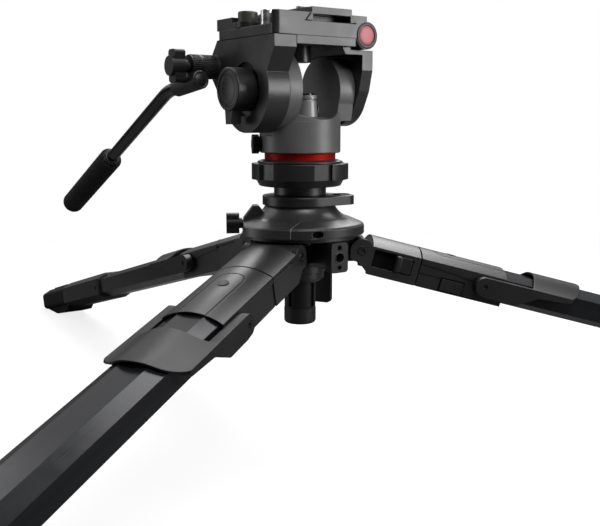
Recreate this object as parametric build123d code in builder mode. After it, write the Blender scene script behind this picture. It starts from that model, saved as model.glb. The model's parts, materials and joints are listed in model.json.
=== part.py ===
"""Fluid video head on a low tripod: every piece as its own solid, in millimetres, +Z up.

The origin is on the floor under the pan axis. The lens side faces -Y, the pan handle lies to the
rear (+Y), and the tilt axis runs along X. Each leg is drawn in its own frame, with X along the
leg from its hinge, Y across it and Z out of its top, and is then set at its place on the crown.
"""

import os
from math import cos, radians, sin, tan

from build123d import *

os.makedirs("parts", exist_ok=True)

# Clearances
running_gap = 0.05
seat_gap = 0.02
slide_gap = 0.4
face_gap = 0.3
side_gap = 0.5

# Leg stance
leg_azimuths = (210, 330, 90)
between_azimuths = (270, 30, 150)
leg_slope = 14.8
hinge_radius = 50.3
hinge_pin_radius = 4.0
sole_reach = 556.0
sole_drop = 20.0

# Leg castings
leg_half_width = 24.5
leg_side_top = 6.0
leg_crown = 13.0
leg_bottom = -18.2
cheek_thickness = 6.0
cheek_end_radius = 10.0
cheek_heel_reach = 9.0
cheek_heel_top = 4.0
cheek_heel_chamfer = 3.0
shoulder_top_start = 8.5
shoulder_solid_start = 16.0
shoulder_end = 52.0
shoulder_roof = 6.5
tongue_end_radius = 9.6
housing_end = 129.0
housing_plug = 7.6
panel_half_width = 12.0
panel_start = 64.0
panel_corner = 9.0
groove_width = 1.0
groove_depth = 0.5
seam_width = 1.0
seam_depth = 1.2
side_step = 0.8
step_start_height = 1.5
step_knee_reach = 74.0
step_knee_height = 0.5
step_waist_reach = 96.0
step_waist_height = -1.5
step_end_height = -2.0
housing_pocket_depth = 7.0
housing_skin = 1.2
tab_length = 20.0
tab_height = 10.0
tab_thickness = 1.2
tab_start = 73.0
tab_bottom = -16.5

# Angle selector
selector_window_start = 10.5
selector_window_length = 35.0
selector_window_bottom = -11.0
selector_window_height = 15.0
selector_window_depth = 4.5
selector_length = 15.0
selector_proud = 1.2
selector_end_gap = 0.8
side_groove_start = 18.0
side_groove_length = 33.0
side_groove_height = 3.2
side_groove_width = 1.6
side_groove_depth = 1.2

# Leg tubes
tube_centre = -3.1
tube_half_width = 21.1
tube_half_height = 13.5
tube_flat_half_width = 10.5
tube_chamfer_drop = 5.4
outer_wall = 2.0
middle_wall = 1.8
inner_wall = 1.6
collar_length = 128.0
collar_grip = 18.0
collar_wall = 3.0
middle_tube_start = 80.0
middle_tube_inset = 12.0
inner_tube_start = 95.0
inner_tube_proud = 22.0

# Foot
foot_wall = 2.0
foot_ankle_reach = 66.0
foot_toe_reach = 28.0
foot_side_radius = 5.0
foot_toe_radius = 7.0
foot_heel_run = 12.0
foot_sole_half_length = 16.0
foot_sole_half_width = 18.0

# Leg lock lever
lever_pivot_reach = 109.0
lever_pivot_height = -4.0
lever_pivot_radius = 4.0
lever_half_width = 33.0
lever_arm_inner = 25.2
lever_side_top = 4.2
lever_crown = 15.2
lever_skin = 1.5
lever_panel_start = 150.0
lever_panel_end = 186.0
lever_panel_tip = 201.0
lever_end_radius = 8.2
lever_shoulder_half = 26.5
lever_shoulder_top = 5.9
lever_flank_half = 19.0
lever_flank_top = 9.3
lever_brow_half = 10.0
lever_brow_top = 13.8
lever_window_dip = 7.0
lever_bump_end = 139.0
lever_bump_drop = -13.0
lever_neck_reach = 157.5
lever_neck_drop = -2.3
lever_tip_drop = 0.0
lever_corner_round = 6.0
lever_pivot_socket_radius = 2.2
lever_pivot_socket_depth = 2.0

# Crown casting
lip_clearance = 10.6
lip_thickness = 3.1
lip_inset = 0.3
tongue_half_width = 18.0
barrel_radius = 21.5
barrel_length = 30.5
bush_radius = 17.5
tongue_root_radius = 15.0
arm_half_width = 7.0
arm_drop = 22.5
arm_inset = 2.0
lug_half_width = 12.0
lug_drop = 18.0
lug_inset = 14.0

# Crown cover
cover_overhang = 4.5
cover_flat_inset = 1.0
rim_height = 8.4
rim_chamfer = 1.0
slope_radius = 43.0
slope_rise = 4.5
dome_radius = 29.5
dome_rise = 15.4
spigot_radius = 24.0
column_play = 0.7
boss_azimuth = 150
boss_half_width = 7.5
boss_root_radius = 27.0
boss_crest_radius = 36.0
boss_crest_length = 4.0
boss_crest_drop = 0.4
boss_inset = 0.5
boss_end_height = 12.4
rim_slot_azimuth = 250
rim_slot_length = 8.9
rim_slot_height = 5.8
rim_slot_depth = 8.0
crown_screw_inset = 7.3
crown_screw_spread = 27.0
crown_screw_radius = 1.5
crown_screw_length = 9.0
crown_screw_head_radius = 2.8
crown_screw_head_height = 2.0

# Column and its guide
column_radius = 13.5
column_bore_radius = 9.0
column_drop = 45.7
column_cap_radius = 13.8
column_cap_length = 13.5
column_cap_round = 3.0
column_cap_spigot = 8.0
column_slot_azimuth = 17.0
column_slot_width = 4.2
column_slot_depth = 2.0
column_slot_margin = 2.0
bush_flange_length = 8.0
bush_flange_radius = 20.5
bush_nose_radius = 17.0
bush_nose_length = 3.0
bush_key_gap = 0.3

# Accessory plate and hanger plate
accessory_half_width = 8.5
accessory_thickness = 8.0
accessory_height = 25.0
accessory_centre_drop = 12.2
accessory_corner = 3.0
accessory_thread_radius = 4.0
accessory_pin_radius = 2.0
accessory_pin_spacing = 16.2
accessory_pin_depth = 5.0
hanger_half_width = 13.6
hanger_thickness = 4.0
hanger_length = 65.0
hanger_corner = 4.0

# Column lock knob
lock_knob_height = 8.1
lock_knob_shaft_radius = 3.0
lock_knob_shaft_reach = 14.6
lock_knob_standoff = 3.0
lock_knob_thickness = 11.0
lock_knob_half_span = 8.5
lock_knob_half_width = 5.0
lock_knob_round = 2.0
lock_knob_collar_radius = 4.5
lock_knob_collar_length = 2.5

# Level ring
level_ring_thickness = 7.8
level_ring_radius = 32.0
level_lobe_azimuth = -35.6
level_lobe_reach = 35.5
level_lobe_radius = 10.5
level_vial_radius = 6.5
level_vial_height = 4.0
level_vial_sink = 3.6
level_ring_round = 1.0

# Quick-release stage
neck_gap = 0.5
neck_height = 7.5
neck_radius = 22.2
stage_radius = 33.5
stage_height = 19.5
stage_rim_height = 2.5
stage_rim_radius = 36.0
stage_rim_top_radius = 32.5
stage_column_depth = 18.0
lock_ring_play = 0.08
lock_ring_radius = 37.5
lock_ring_lobe_radius = 41.0
lock_ring_foot_radius = 34.6
lock_ring_taper = 5.5
lock_ring_lobes = 5
lock_ring_lobe_azimuth = 227.4
lock_ring_recess_width = 16.5
lock_ring_round = 0.8
red_ring_radius = 30.0
red_ring_height = 5.5
spindle_radius = 12.0
spindle_length = 19.0

# Pan housing
pan_gap = 0.3
pan_radius = 34.2
pan_height = 26.2
pan_chamfer = 0.8
tilt_axis_rise = 51.2
left_ear_outer = -33.0
left_ear_inner = -21.0
left_ear_radius = 34.0
right_ear_inner = 21.0
right_ear_outer = 36.5
right_ear_radius = 28.0
right_ear_foot_half = 23.0
mound_radius = 31.0
mound_top_radius = 19.0
mound_rise = 3.2
relief_floor = 14.5
tilt_shaft_radius = 8.0
tilt_shaft_bite = 12.5
tilt_shaft_web = 3.0
post_rear = -10.0
post_radius = 9.0
post_height = 17.7
post_cap_radius = 8.0
post_cap_height = 3.0
post_groove_height = 1.2
post_groove_radius = 7.2
post_vial_radius = 5.2
post_vial_height = 1.4
pan_knob_azimuth = 155
pan_knob_rise = 7.2
pan_knob_shaft_radius = 2.5
pan_knob_shaft_depth = 14.0
pan_knob_radius = 8.0
pan_knob_thickness = 5.5
pan_knob_standoff = 1.0
pan_knob_scallops = 5
pan_knob_scallop_radius = 2.6

# Tilt body
body_rise = 40.8
body_height = 17.7
body_left = -54.0
body_right = 36.0
body_front = -43.0
body_rear = 43.5
body_corner = 5.0
barrel_rise = 2.7
hinge_barrel_radius = 11.0
channel_half_width = 25.4
channel_mouth_half_width = 20.2
channel_floor = 11.2
lever_bay_floor = 7.7
lever_bay_width = 20.0
lever_bay_front = -9.0
pin_bay_width = 9.0
pin_bay_front = -39.0

# Left cheek and handle rosette
cheek_gap = 0.4
cheek_radius = 34.5
cheek_brow_height = 9.3
cheek_waist_reach = 31.5
cheek_waist_rise = 12.5
rosette_rear = 47.0
rosette_rise = 19.5
rosette_lug_radius = 10.5
rosette_radius = 9.6
rosette_length = 15.0
rosette_bolt_depth = 12.0

# Right arm
arm_gap = 0.5
arm_thickness = 11.0
arm_radius = 29.5
arm_waist_half = 32.5
arm_top_half = 36.5
arm_head_drop = 0.2
arm_shoulder_height = 16.0
bar_thickness = 5.2
bar_lip_height = 6.5
bar_right = 24.8
bar_corner = 4.0
elbow_left = 19.5
bar_boss_left = -1.0
bar_boss_radius = 10.0
bar_boss_drop = 12.6

# Tilt lock knob
tilt_knob_radius = 17.2
tilt_knob_face = -70.5
tilt_knob_recess_radius = 21.5
tilt_knob_recess_depth = 3.0
tilt_knob_shaft_radius = 5.0
tilt_knob_shaft_length = 8.0
tilt_knob_standoff = 0.6
tilt_tail_reach = 27.5
tilt_tail_half_root = 7.5
tilt_tail_half_tip = 3.8
tilt_tail_lean = 1.5
tilt_tail_thickness = 9.0
tilt_tail_inset = 1.5
tilt_knob_edge = 1.0
tilt_knob_dish_radius = 14.5
tilt_knob_dish_depth = 0.6

# Plate lock lever, its hub and the trigger pin
hub_left = -45.0
hub_rear = 9.0
hub_radius = 8.0
hub_height = 13.2
hub_stub_radius = 3.0
hub_stub_length = 6.0
hub_top_round = 1.5
lever_eye_radius = 9.8
lever_eye_height = 4.5
thumb_left = -53.4
thumb_width = 9.0
thumb_front = 19.5
thumb_rear = 46.0
thumb_height = 9.0
thumb_round = 2.5
pin_left = -48.0
pin_rear = -24.0
pin_radius = 5.0
pin_height = 11.8
pin_sink = 3.0
pin_bore_depth = 6.5
pin_round = 1.0

# Sliding plate and camera screw
plate_half_width = 24.6
plate_mouth_half_width = 19.6
plate_lift = 0.3
plate_shoulder = 6.2
plate_height = 10.4
plate_front = -44.0
plate_rear = 56.0
plate_pocket_half = 18.5
plate_pocket_length = 14.0
plate_pocket_height = 5.0
plate_screw_slot = 24.0
screw_radius = 3.175
screw_neck_radius = 2.6
screw_reach = 5.2
screw_head_radius = 7.0
screw_head_height = 2.6
screw_head_lift = 0.9
screw_hole_play = 0.15
screw_pocket_play = 0.5
screw_pocket_height = 3.9

# Pan handle
clamp_gap = 0.4
clamp_length = 10.2
socket_radius = 7.5
socket_front = 31.0
socket_rise = 8.2
socket_length = 40.0
socket_plug = 4.0
handle_droop = 7.5
handle_slope = 25.8
handle_bend_reach = 58.0
handle_bend_radius = 60.0
handle_length = 272.0
rod_radius = 5.6
grip_radius = 11.2
grip_length = 128.0
grip_end = 8.0
grip_end_round = 7.0
grip_start_round = 2.0
rosette_bolt_radius = 4.0
rosette_knob_gap = 0.5
rosette_stem_radius = 5.3
rosette_stem_length = 5.0
rosette_wing_half_span = 13.5
rosette_wing_half_width = 6.0
rosette_wing_length = 9.5
rosette_wing_round = 3.0
rosette_hub_radius = 8.0
rosette_hub_proud = 3.0

# Heights of the stack, from the floor up
slope_sin = sin(radians(leg_slope))
slope_cos = cos(radians(leg_slope))
hinge_height = sole_reach * slope_sin + sole_drop * slope_cos
lip_bottom = hinge_height + lip_clearance
cover_bottom = lip_bottom + lip_thickness
rim_top = cover_bottom + rim_height
dome_top = rim_top + dome_rise
level_ring_bottom = dome_top + face_gap
level_ring_top = level_ring_bottom + level_ring_thickness
spigot_top = level_ring_top + running_gap
neck_bottom = level_ring_top + neck_gap
stage_bottom = neck_bottom + neck_height
stage_top = stage_bottom + stage_height
red_ring_bottom = stage_top + stage_rim_height
red_ring_top = red_ring_bottom + red_ring_height
pan_bottom = red_ring_top + pan_gap
pan_top = pan_bottom + pan_height
tilt_axis = pan_bottom + tilt_axis_rise
body_bottom = tilt_axis + body_rise
body_top = body_bottom + body_height
barrel_bottom = lip_bottom - barrel_length
column_bottom = barrel_bottom - column_drop + column_cap_length
column_top = neck_bottom + stage_column_depth
channel_bottom = body_bottom + channel_floor
plate_bottom = channel_bottom + plate_lift
plate_top = plate_bottom + plate_height
screw_bottom = plate_top + face_gap

# Places worked out from the sizes above
column_slot_azimuths = [column_slot_azimuth + 90 * turn for turn in range(4)]
cheek_outer = body_left
cheek_inner = left_ear_outer - cheek_gap
arm_inner = right_ear_outer + arm_gap
arm_outer = arm_inner + arm_thickness
collar_end = sole_reach - foot_ankle_reach
collar_start = collar_end - collar_length
outer_tube_end = collar_start + collar_grip
middle_tube_end = collar_end - middle_tube_inset
inner_tube_end = collar_end + inner_tube_proud
foot_end = sole_reach + foot_toe_reach
housing_start = shoulder_end + slide_gap
outer_tube_start = housing_start + housing_plug
selector_window_end = selector_window_start + selector_window_length
lip_radius = hinge_radius - lip_inset
cover_radius = lip_radius + cover_overhang
cover_flat_reach = lip_radius - cover_flat_inset
boss_reach = cover_flat_reach - boss_inset
lock_knob_inner_reach = cover_flat_reach + lock_knob_standoff
arm_reach = lip_radius - arm_inset
lug_reach = lip_radius - lug_inset
crown_screw_circle = hinge_radius - crown_screw_inset
middle_inset = outer_wall + slide_gap
inner_inset = middle_inset + middle_wall + slide_gap
rosette_face = cheek_outer - rosette_length
clamp_right = rosette_face - clamp_gap
clamp_left = clamp_right - clamp_length
handle_plane_x = clamp_right - socket_radius - face_gap


def write_piece(part, name):
    """Label a finished piece and write it to its own file."""
    part.label = name
    export_step(part, f"parts/{name}.step")


def radial_plane(azimuth):
    """Upright plane through the pan axis: X outward at the azimuth, Y up."""
    angle = radians(azimuth)
    return Plane((0, 0, 0), x_dir=(cos(angle), sin(angle), 0), z_dir=(sin(angle), -cos(angle), 0))


def outward_plane(azimuth, reach, height):
    """Plane that faces outward at the azimuth, reach from the pan axis, with its Y axis up."""
    angle = radians(azimuth)
    outward = (cos(angle), sin(angle), 0)
    origin = (reach * outward[0], reach * outward[1], height)
    return Plane(origin, x_dir=(-sin(angle), cos(angle), 0), z_dir=outward)


def across_plane(x):
    """Plane across the tilt axis or a leg at x: its X axis is +Y and its Y axis is +Z."""
    return Plane.YZ.offset(x)


def crowned_section(x, inset=0.0):
    """Outline of a leg casting at x: flat sides and bottom under an arched top."""
    half_width = leg_half_width - inset
    with BuildSketch(across_plane(x)) as section:
        with BuildLine():
            ThreePointArc(
                (-half_width, leg_side_top - inset),
                (0, leg_crown - inset),
                (half_width, leg_side_top - inset),
            )
            Polyline(
                (half_width, leg_side_top - inset),
                (half_width, leg_bottom + inset),
                (-half_width, leg_bottom + inset),
                (-half_width, leg_side_top - inset),
            )
        make_face()
    return section.sketch


def tube_section(x, inset=0.0):
    """Eight-sided leg tube outline at x, inset from the outer tube's outside."""
    top = tube_centre + tube_half_height
    bottom = tube_centre - tube_half_height
    with BuildSketch(across_plane(x)) as section:
        with BuildLine():
            Polyline(
                (-tube_flat_half_width, top),
                (tube_flat_half_width, top),
                (tube_half_width, top - tube_chamfer_drop),
                (tube_half_width, bottom + tube_chamfer_drop),
                (tube_flat_half_width, bottom),
                (-tube_flat_half_width, bottom),
                (-tube_half_width, bottom + tube_chamfer_drop),
                (-tube_half_width, top - tube_chamfer_drop),
                close=True,
            )
        make_face()
        if inset:
            offset(amount=-inset, kind=Kind.INTERSECTION, mode=Mode.REPLACE)
    return section.sketch


def leg_tube(start, end, inset, wall):
    """Hollow leg tube between two reaches along the leg."""
    with BuildPart() as tube:
        extrude(tube_section(start, inset), amount=end - start)
        extrude(tube_section(start, inset + wall), amount=end - start, mode=Mode.SUBTRACT)
    return tube.part


def leg_shoulder():
    """Casting between the crown and the lock housing, forked round the crown's tongue."""
    cheek_middle = leg_half_width - cheek_thickness / 2
    window_face = Plane.XZ.offset(leg_half_width)
    with BuildPart() as shoulder:
        extrude(
            crowned_section(shoulder_top_start), amount=shoulder_end - seam_width - shoulder_top_start
        )
        extrude(crowned_section(shoulder_end - seam_width, seam_depth), amount=seam_width)
        # Room for the tongue between the cheeks
        with BuildSketch(Plane.XY.offset(shoulder_roof)):
            with Locations((0, 0)):
                Rectangle(2 * shoulder_solid_start, 2 * (leg_half_width - cheek_thickness))
        extrude(amount=-(shoulder_roof - 2 * leg_bottom), mode=Mode.SUBTRACT)
        # Cheeks that carry the hinge pin
        for side in (-cheek_middle, cheek_middle):
            with BuildSketch(Plane.XZ.offset(side)):
                Circle(cheek_end_radius)
                with BuildLine():
                    Polyline(
                        (0, cheek_heel_top),
                        (-cheek_heel_reach, cheek_heel_top),
                        (-cheek_heel_reach, cheek_heel_chamfer - cheek_end_radius),
                        (cheek_heel_chamfer - cheek_heel_reach, -cheek_end_radius),
                        (0, -cheek_end_radius),
                        close=True,
                    )
                make_face()
                with BuildLine():
                    Polyline(
                        (0, cheek_end_radius),
                        (shoulder_top_start, leg_side_top),
                        (shoulder_solid_start, leg_side_top),
                        (shoulder_solid_start, leg_bottom),
                        (cheek_end_radius, leg_bottom),
                        (0, -cheek_end_radius),
                        close=True,
                    )
                make_face()
            extrude(amount=cheek_thickness / 2, both=True)
        with BuildSketch(Plane.XZ):
            Circle(hinge_pin_radius + running_gap)
        extrude(amount=leg_half_width, both=True, mode=Mode.SUBTRACT)
        # Selector window
        with BuildSketch(window_face):
            with Locations((selector_window_start, selector_window_bottom)):
                Rectangle(
                    selector_window_length, selector_window_height, align=(Align.MIN, Align.MIN)
                )
        extrude(amount=-selector_window_depth, mode=Mode.SUBTRACT)
        # Fine groove on the other side
        with BuildSketch(Plane.XZ.offset(-leg_half_width)):
            with Locations((side_groove_start, side_groove_height)):
                Rectangle(side_groove_length, side_groove_width, align=(Align.MIN, Align.CENTER))
        extrude(amount=side_groove_depth, mode=Mode.SUBTRACT)
    return shoulder.part


def leg_selector():
    """Sliding button in the shoulder's window that sets the leg's angle."""
    height = selector_window_height - 2 * side_gap
    depth = selector_window_depth - side_gap + selector_proud
    with BuildPart() as selector:
        with BuildSketch(Plane.XZ.offset(leg_half_width + selector_proud)):
            with Locations(
                (selector_window_end - selector_end_gap, selector_window_bottom + side_gap)
            ):
                Rectangle(selector_length, height, align=(Align.MAX, Align.MIN))
        extrude(amount=-depth)
        chamfer(selector.edges().group_by(Axis.Y)[0], length=selector_proud / 2)
    return selector.part


def panel_groove():
    """Ring that cuts the shallow panel outline into the arched top of the lock housing."""
    panel_length = housing_end - panel_start
    with BuildPart() as ring:
        with BuildSketch(Plane.XY) as outline:
            with Locations((panel_start, 0)):
                Rectangle(
                    panel_length + panel_corner, 2 * panel_half_width, align=(Align.MIN, Align.CENTER)
                )
            fillet(outline.vertices().group_by(Axis.X)[0], radius=panel_corner)
            offset(amount=-groove_width, mode=Mode.SUBTRACT)
        extrude(amount=leg_crown)
        extrude(
            crowned_section(panel_start - groove_width, groove_depth),
            amount=panel_length + panel_corner + 2 * groove_width,
            mode=Mode.SUBTRACT,
        )
    return ring.part


def leg_housing():
    """Casting that holds the upper end of the outer tube and the lock lever's pivots."""
    pocket_start = housing_end - housing_pocket_depth
    with BuildPart() as housing:
        extrude(crowned_section(housing_start), amount=housing_end - housing_start)
        extrude(
            tube_section(outer_tube_start, -seat_gap),
            amount=housing_end - outer_tube_start,
            mode=Mode.SUBTRACT,
        )
        extrude(
            crowned_section(pocket_start, housing_skin), amount=housing_pocket_depth, mode=Mode.SUBTRACT
        )
        # Sides set back under a curved edge
        for side in (-1, 1):
            with BuildSketch(Plane.XZ.offset(side * leg_half_width)):
                with BuildLine():
                    Spline(
                        (housing_start, step_start_height),
                        (step_knee_reach, step_knee_height),
                        (step_waist_reach, step_waist_height),
                        (housing_end, step_end_height),
                    )
                    Polyline(
                        (housing_end, step_end_height),
                        (housing_end, leg_bottom),
                        (housing_start, leg_bottom),
                        (housing_start, step_start_height),
                    )
                make_face()
            extrude(amount=-side * side_step, mode=Mode.SUBTRACT)
        with BuildSketch(Plane.XZ):
            with Locations((lever_pivot_reach, lever_pivot_height)):
                Circle(lever_pivot_radius + running_gap)
        extrude(amount=leg_half_width, both=True, mode=Mode.SUBTRACT)
        add(panel_groove(), mode=Mode.SUBTRACT)
        # Side tab in its groove
        side_face = leg_half_width - side_step
        tab_middle = (tab_start + tab_length / 2, tab_bottom + tab_height / 2)
        with BuildSketch(Plane.XZ.offset(side_face)):
            with Locations(tab_middle):
                Rectangle(tab_length + 2 * groove_width, tab_height + 2 * groove_width)
        extrude(amount=-groove_depth, mode=Mode.SUBTRACT)
        with BuildSketch(Plane.XZ.offset(side_face - groove_depth)):
            with Locations(tab_middle):
                Rectangle(tab_length, tab_height)
        extrude(amount=groove_depth + tab_thickness)
    return housing.part


def lever_arch(drop):
    """Points across the lever's arched panel, lowered by the drop."""
    half = [
        (lever_half_width - drop, lever_side_top - drop),
        (lever_shoulder_half, lever_shoulder_top - drop),
        (lever_flank_half, lever_flank_top - drop),
        (lever_brow_half, lever_brow_top - drop),
    ]
    return [(-y, z) for y, z in half] + [(0, lever_crown - drop)] + half[::-1]


def leg_lever():
    """Flip lever that straddles the tube: two arms and an arched finger panel."""
    arm_thickness_across = lever_half_width - lever_arm_inner
    panel_length = lever_panel_tip - lever_panel_start
    outer_arch = lever_arch(0)
    inner_arch = lever_arch(lever_skin)
    with BuildPart() as lever:
        # Arched panel, cut to its outline from above
        with BuildSketch(across_plane(lever_panel_start)):
            with BuildLine():
                Spline(*outer_arch)
                Line(outer_arch[-1], inner_arch[-1])
                Spline(*inner_arch[::-1])
                Line(inner_arch[0], outer_arch[0])
            make_face()
        extrude(amount=panel_length)
        with BuildSketch(Plane.XY):
            with BuildLine():
                ThreePointArc(
                    (lever_panel_start, -lever_half_width),
                    (lever_panel_start + lever_window_dip, 0),
                    (lever_panel_start, lever_half_width),
                )
                Line((lever_panel_start, lever_half_width), (lever_panel_end, lever_half_width))
                ThreePointArc(
                    (lever_panel_end, lever_half_width),
                    (lever_panel_tip, 0),
                    (lever_panel_end, -lever_half_width),
                )
                Line((lever_panel_end, -lever_half_width), (lever_panel_start, -lever_half_width))
            make_face()
        extrude(amount=2 * lever_crown, both=True, mode=Mode.INTERSECT)
        # Arms with their pivot stubs
        for side in (-1, 1):
            middle = side * (lever_arm_inner + arm_thickness_across / 2)
            with BuildSketch(Plane.XZ.offset(-middle)):
                with Locations((lever_pivot_reach, lever_pivot_height)):
                    Circle(lever_end_radius)
                with BuildLine():
                    FilletPolyline(
                        (lever_panel_end, lever_tip_drop),
                        (lever_neck_reach, lever_neck_drop),
                        (lever_bump_end, lever_bump_drop),
                        (lever_pivot_reach + lever_pivot_radius, lever_bump_drop),
                        radius=lever_corner_round,
                    )
                    Polyline(
                        (lever_pivot_reach + lever_pivot_radius, lever_bump_drop),
                        (lever_pivot_reach, lever_pivot_height - lever_end_radius),
                        (lever_pivot_reach, lever_side_top),
                        (lever_panel_end, lever_side_top),
                        (lever_panel_end + lever_skin, (lever_side_top + lever_tip_drop) / 2),
                        (lever_panel_end, lever_tip_drop),
                    )
                make_face()
            extrude(amount=arm_thickness_across / 2, both=True)
            with BuildSketch(Plane.XZ.offset(-side * lever_arm_inner)):
                with Locations((lever_pivot_reach, lever_pivot_height)):
                    Circle(lever_pivot_radius)
            extrude(amount=side * (lever_arm_inner - tube_half_width - face_gap))
            with BuildSketch(Plane.XZ.offset(-side * lever_half_width)):
                with Locations((lever_pivot_reach, lever_pivot_height)):
                    Circle(lever_pivot_socket_radius)
            extrude(amount=side * lever_pivot_socket_depth, mode=Mode.SUBTRACT)
    return lever.part


def leg_collar():
    """Guide collar on the lower end of the outer tube, with a bore for the middle tube."""
    bore_length = outer_tube_end - collar_start
    with BuildPart() as collar:
        extrude(tube_section(collar_start, -collar_wall), amount=collar_end - collar_start)
        chamfer(collar.faces().sort_by(Axis.X)[0].edges(), length=collar_wall / 2)
        extrude(tube_section(collar_start, -seat_gap), amount=bore_length, mode=Mode.SUBTRACT)
        extrude(
            tube_section(outer_tube_end, middle_inset - slide_gap),
            amount=collar_end - outer_tube_end,
            mode=Mode.SUBTRACT,
        )
    return collar.part


def sole_height(reach):
    """Height of the floor in the leg's own frame, at a reach along the leg."""
    return (reach * slope_sin - hinge_height) / slope_cos


def leg_foot():
    """Rubber boot on the inner tube's end, with a level sole."""
    start = collar_end + face_gap
    heel = sole_reach - foot_sole_half_length
    toe = sole_reach + foot_sole_half_length
    with BuildPart() as foot:
        extrude(tube_section(start, -foot_wall), amount=foot_end - start)
        fillet(foot.edges().filter_by(Axis.X), radius=foot_side_radius)
        fillet(foot.faces().sort_by(Axis.X)[-1].edges(), radius=foot_toe_radius)
        with BuildSketch(Plane.XZ):
            with BuildLine():
                Polyline(
                    (start, 0),
                    (start, tube_centre - tube_half_height),
                    (start + foot_heel_run, sole_height(heel)),
                    (heel, sole_height(heel)),
                    (toe, sole_height(toe)),
                    (toe, 0),
                    close=True,
                )
            make_face()
        extrude(amount=foot_sole_half_width, both=True)
        # Nothing hangs below the floor
        with BuildSketch(Plane.XZ):
            with BuildLine():
                Polyline(
                    (heel, sole_height(heel)),
                    (foot_end, sole_height(foot_end)),
                    (foot_end, sole_height(heel)),
                    close=True,
                )
            make_face()
        extrude(amount=2 * tube_half_width, both=True, mode=Mode.SUBTRACT)
        extrude(
            tube_section(start, inner_inset - seat_gap), amount=inner_tube_end - start, mode=Mode.SUBTRACT
        )
    return foot.part


# Leg pieces, drawn once and set at three places
leg_pieces = {
    "shoulder": leg_shoulder(),
    "selector": leg_selector(),
    "housing": leg_housing(),
    "lever": leg_lever(),
    "outer_tube": leg_tube(outer_tube_start, outer_tube_end, 0.0, outer_wall),
    "lower_collar": leg_collar(),
    "middle_tube": leg_tube(middle_tube_start, middle_tube_end, middle_inset, middle_wall),
    "inner_tube": leg_tube(inner_tube_start, inner_tube_end, inner_inset, inner_wall),
    "foot": leg_foot(),
}
for number, azimuth in enumerate(leg_azimuths, start=1):
    angle = radians(azimuth)
    outward = Vector(cos(angle), sin(angle), 0)
    leg_plane = Plane(
        outward * hinge_radius + Vector(0, 0, hinge_height),
        x_dir=outward * slope_cos + Vector(0, 0, -slope_sin),
        z_dir=outward * slope_sin + Vector(0, 0, slope_cos),
    )
    for piece_name, piece in leg_pieces.items():
        write_piece(leg_plane.location * piece, f"leg_{number}_{piece_name}")

# Crown casting: lip, barrel, three tongues, the accessory arm and the hanger lug
with BuildPart() as crown_casting:
    with BuildSketch(Plane.XY.offset(lip_bottom)):
        Circle(lip_radius)
    extrude(amount=lip_thickness)
    with BuildSketch(Plane.XY.offset(barrel_bottom)):
        Circle(barrel_radius)
    extrude(amount=barrel_length)
    for azimuth in leg_azimuths:
        with BuildSketch(radial_plane(azimuth)):
            with Locations((hinge_radius, hinge_height)):
                Circle(tongue_end_radius)
            with BuildLine():
                Polyline(
                    (tongue_root_radius, hinge_height - tongue_end_radius),
                    (hinge_radius, hinge_height - tongue_end_radius),
                    (hinge_radius, hinge_height),
                    (hinge_radius - tongue_end_radius, lip_bottom),
                    (tongue_root_radius, lip_bottom),
                    close=True,
                )
            make_face()
        extrude(amount=tongue_half_width, both=True)
    with BuildSketch(radial_plane(between_azimuths[0])):
        with Locations((tongue_root_radius, lip_bottom)):
            Rectangle(arm_reach - tongue_root_radius, arm_drop, align=(Align.MIN, Align.MAX))
    extrude(amount=arm_half_width, both=True)
    with BuildSketch(radial_plane(between_azimuths[1])):
        with Locations((tongue_root_radius, lip_bottom)):
            Rectangle(lug_reach - tongue_root_radius, lug_drop, align=(Align.MIN, Align.MAX))
    extrude(amount=lug_half_width, both=True)
    with BuildSketch(Plane.XY.offset(barrel_bottom)):
        Circle(bush_radius + seat_gap)
    extrude(amount=cover_bottom - barrel_bottom, mode=Mode.SUBTRACT)
    for azimuth in leg_azimuths:
        with BuildSketch(radial_plane(azimuth)):
            with Locations((hinge_radius, hinge_height)):
                Circle(hinge_pin_radius + seat_gap)
        extrude(amount=tongue_half_width, both=True, mode=Mode.SUBTRACT)
    for azimuth in between_azimuths:
        for spread in (-crown_screw_spread, crown_screw_spread):
            angle = radians(azimuth + spread)
            with BuildSketch(Plane.XY.offset(lip_bottom)):
                with Locations((crown_screw_circle * cos(angle), crown_screw_circle * sin(angle))):
                    Circle(crown_screw_radius + seat_gap)
            extrude(amount=lip_thickness, mode=Mode.SUBTRACT)
write_piece(crown_casting.part, "crown_casting")

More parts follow.
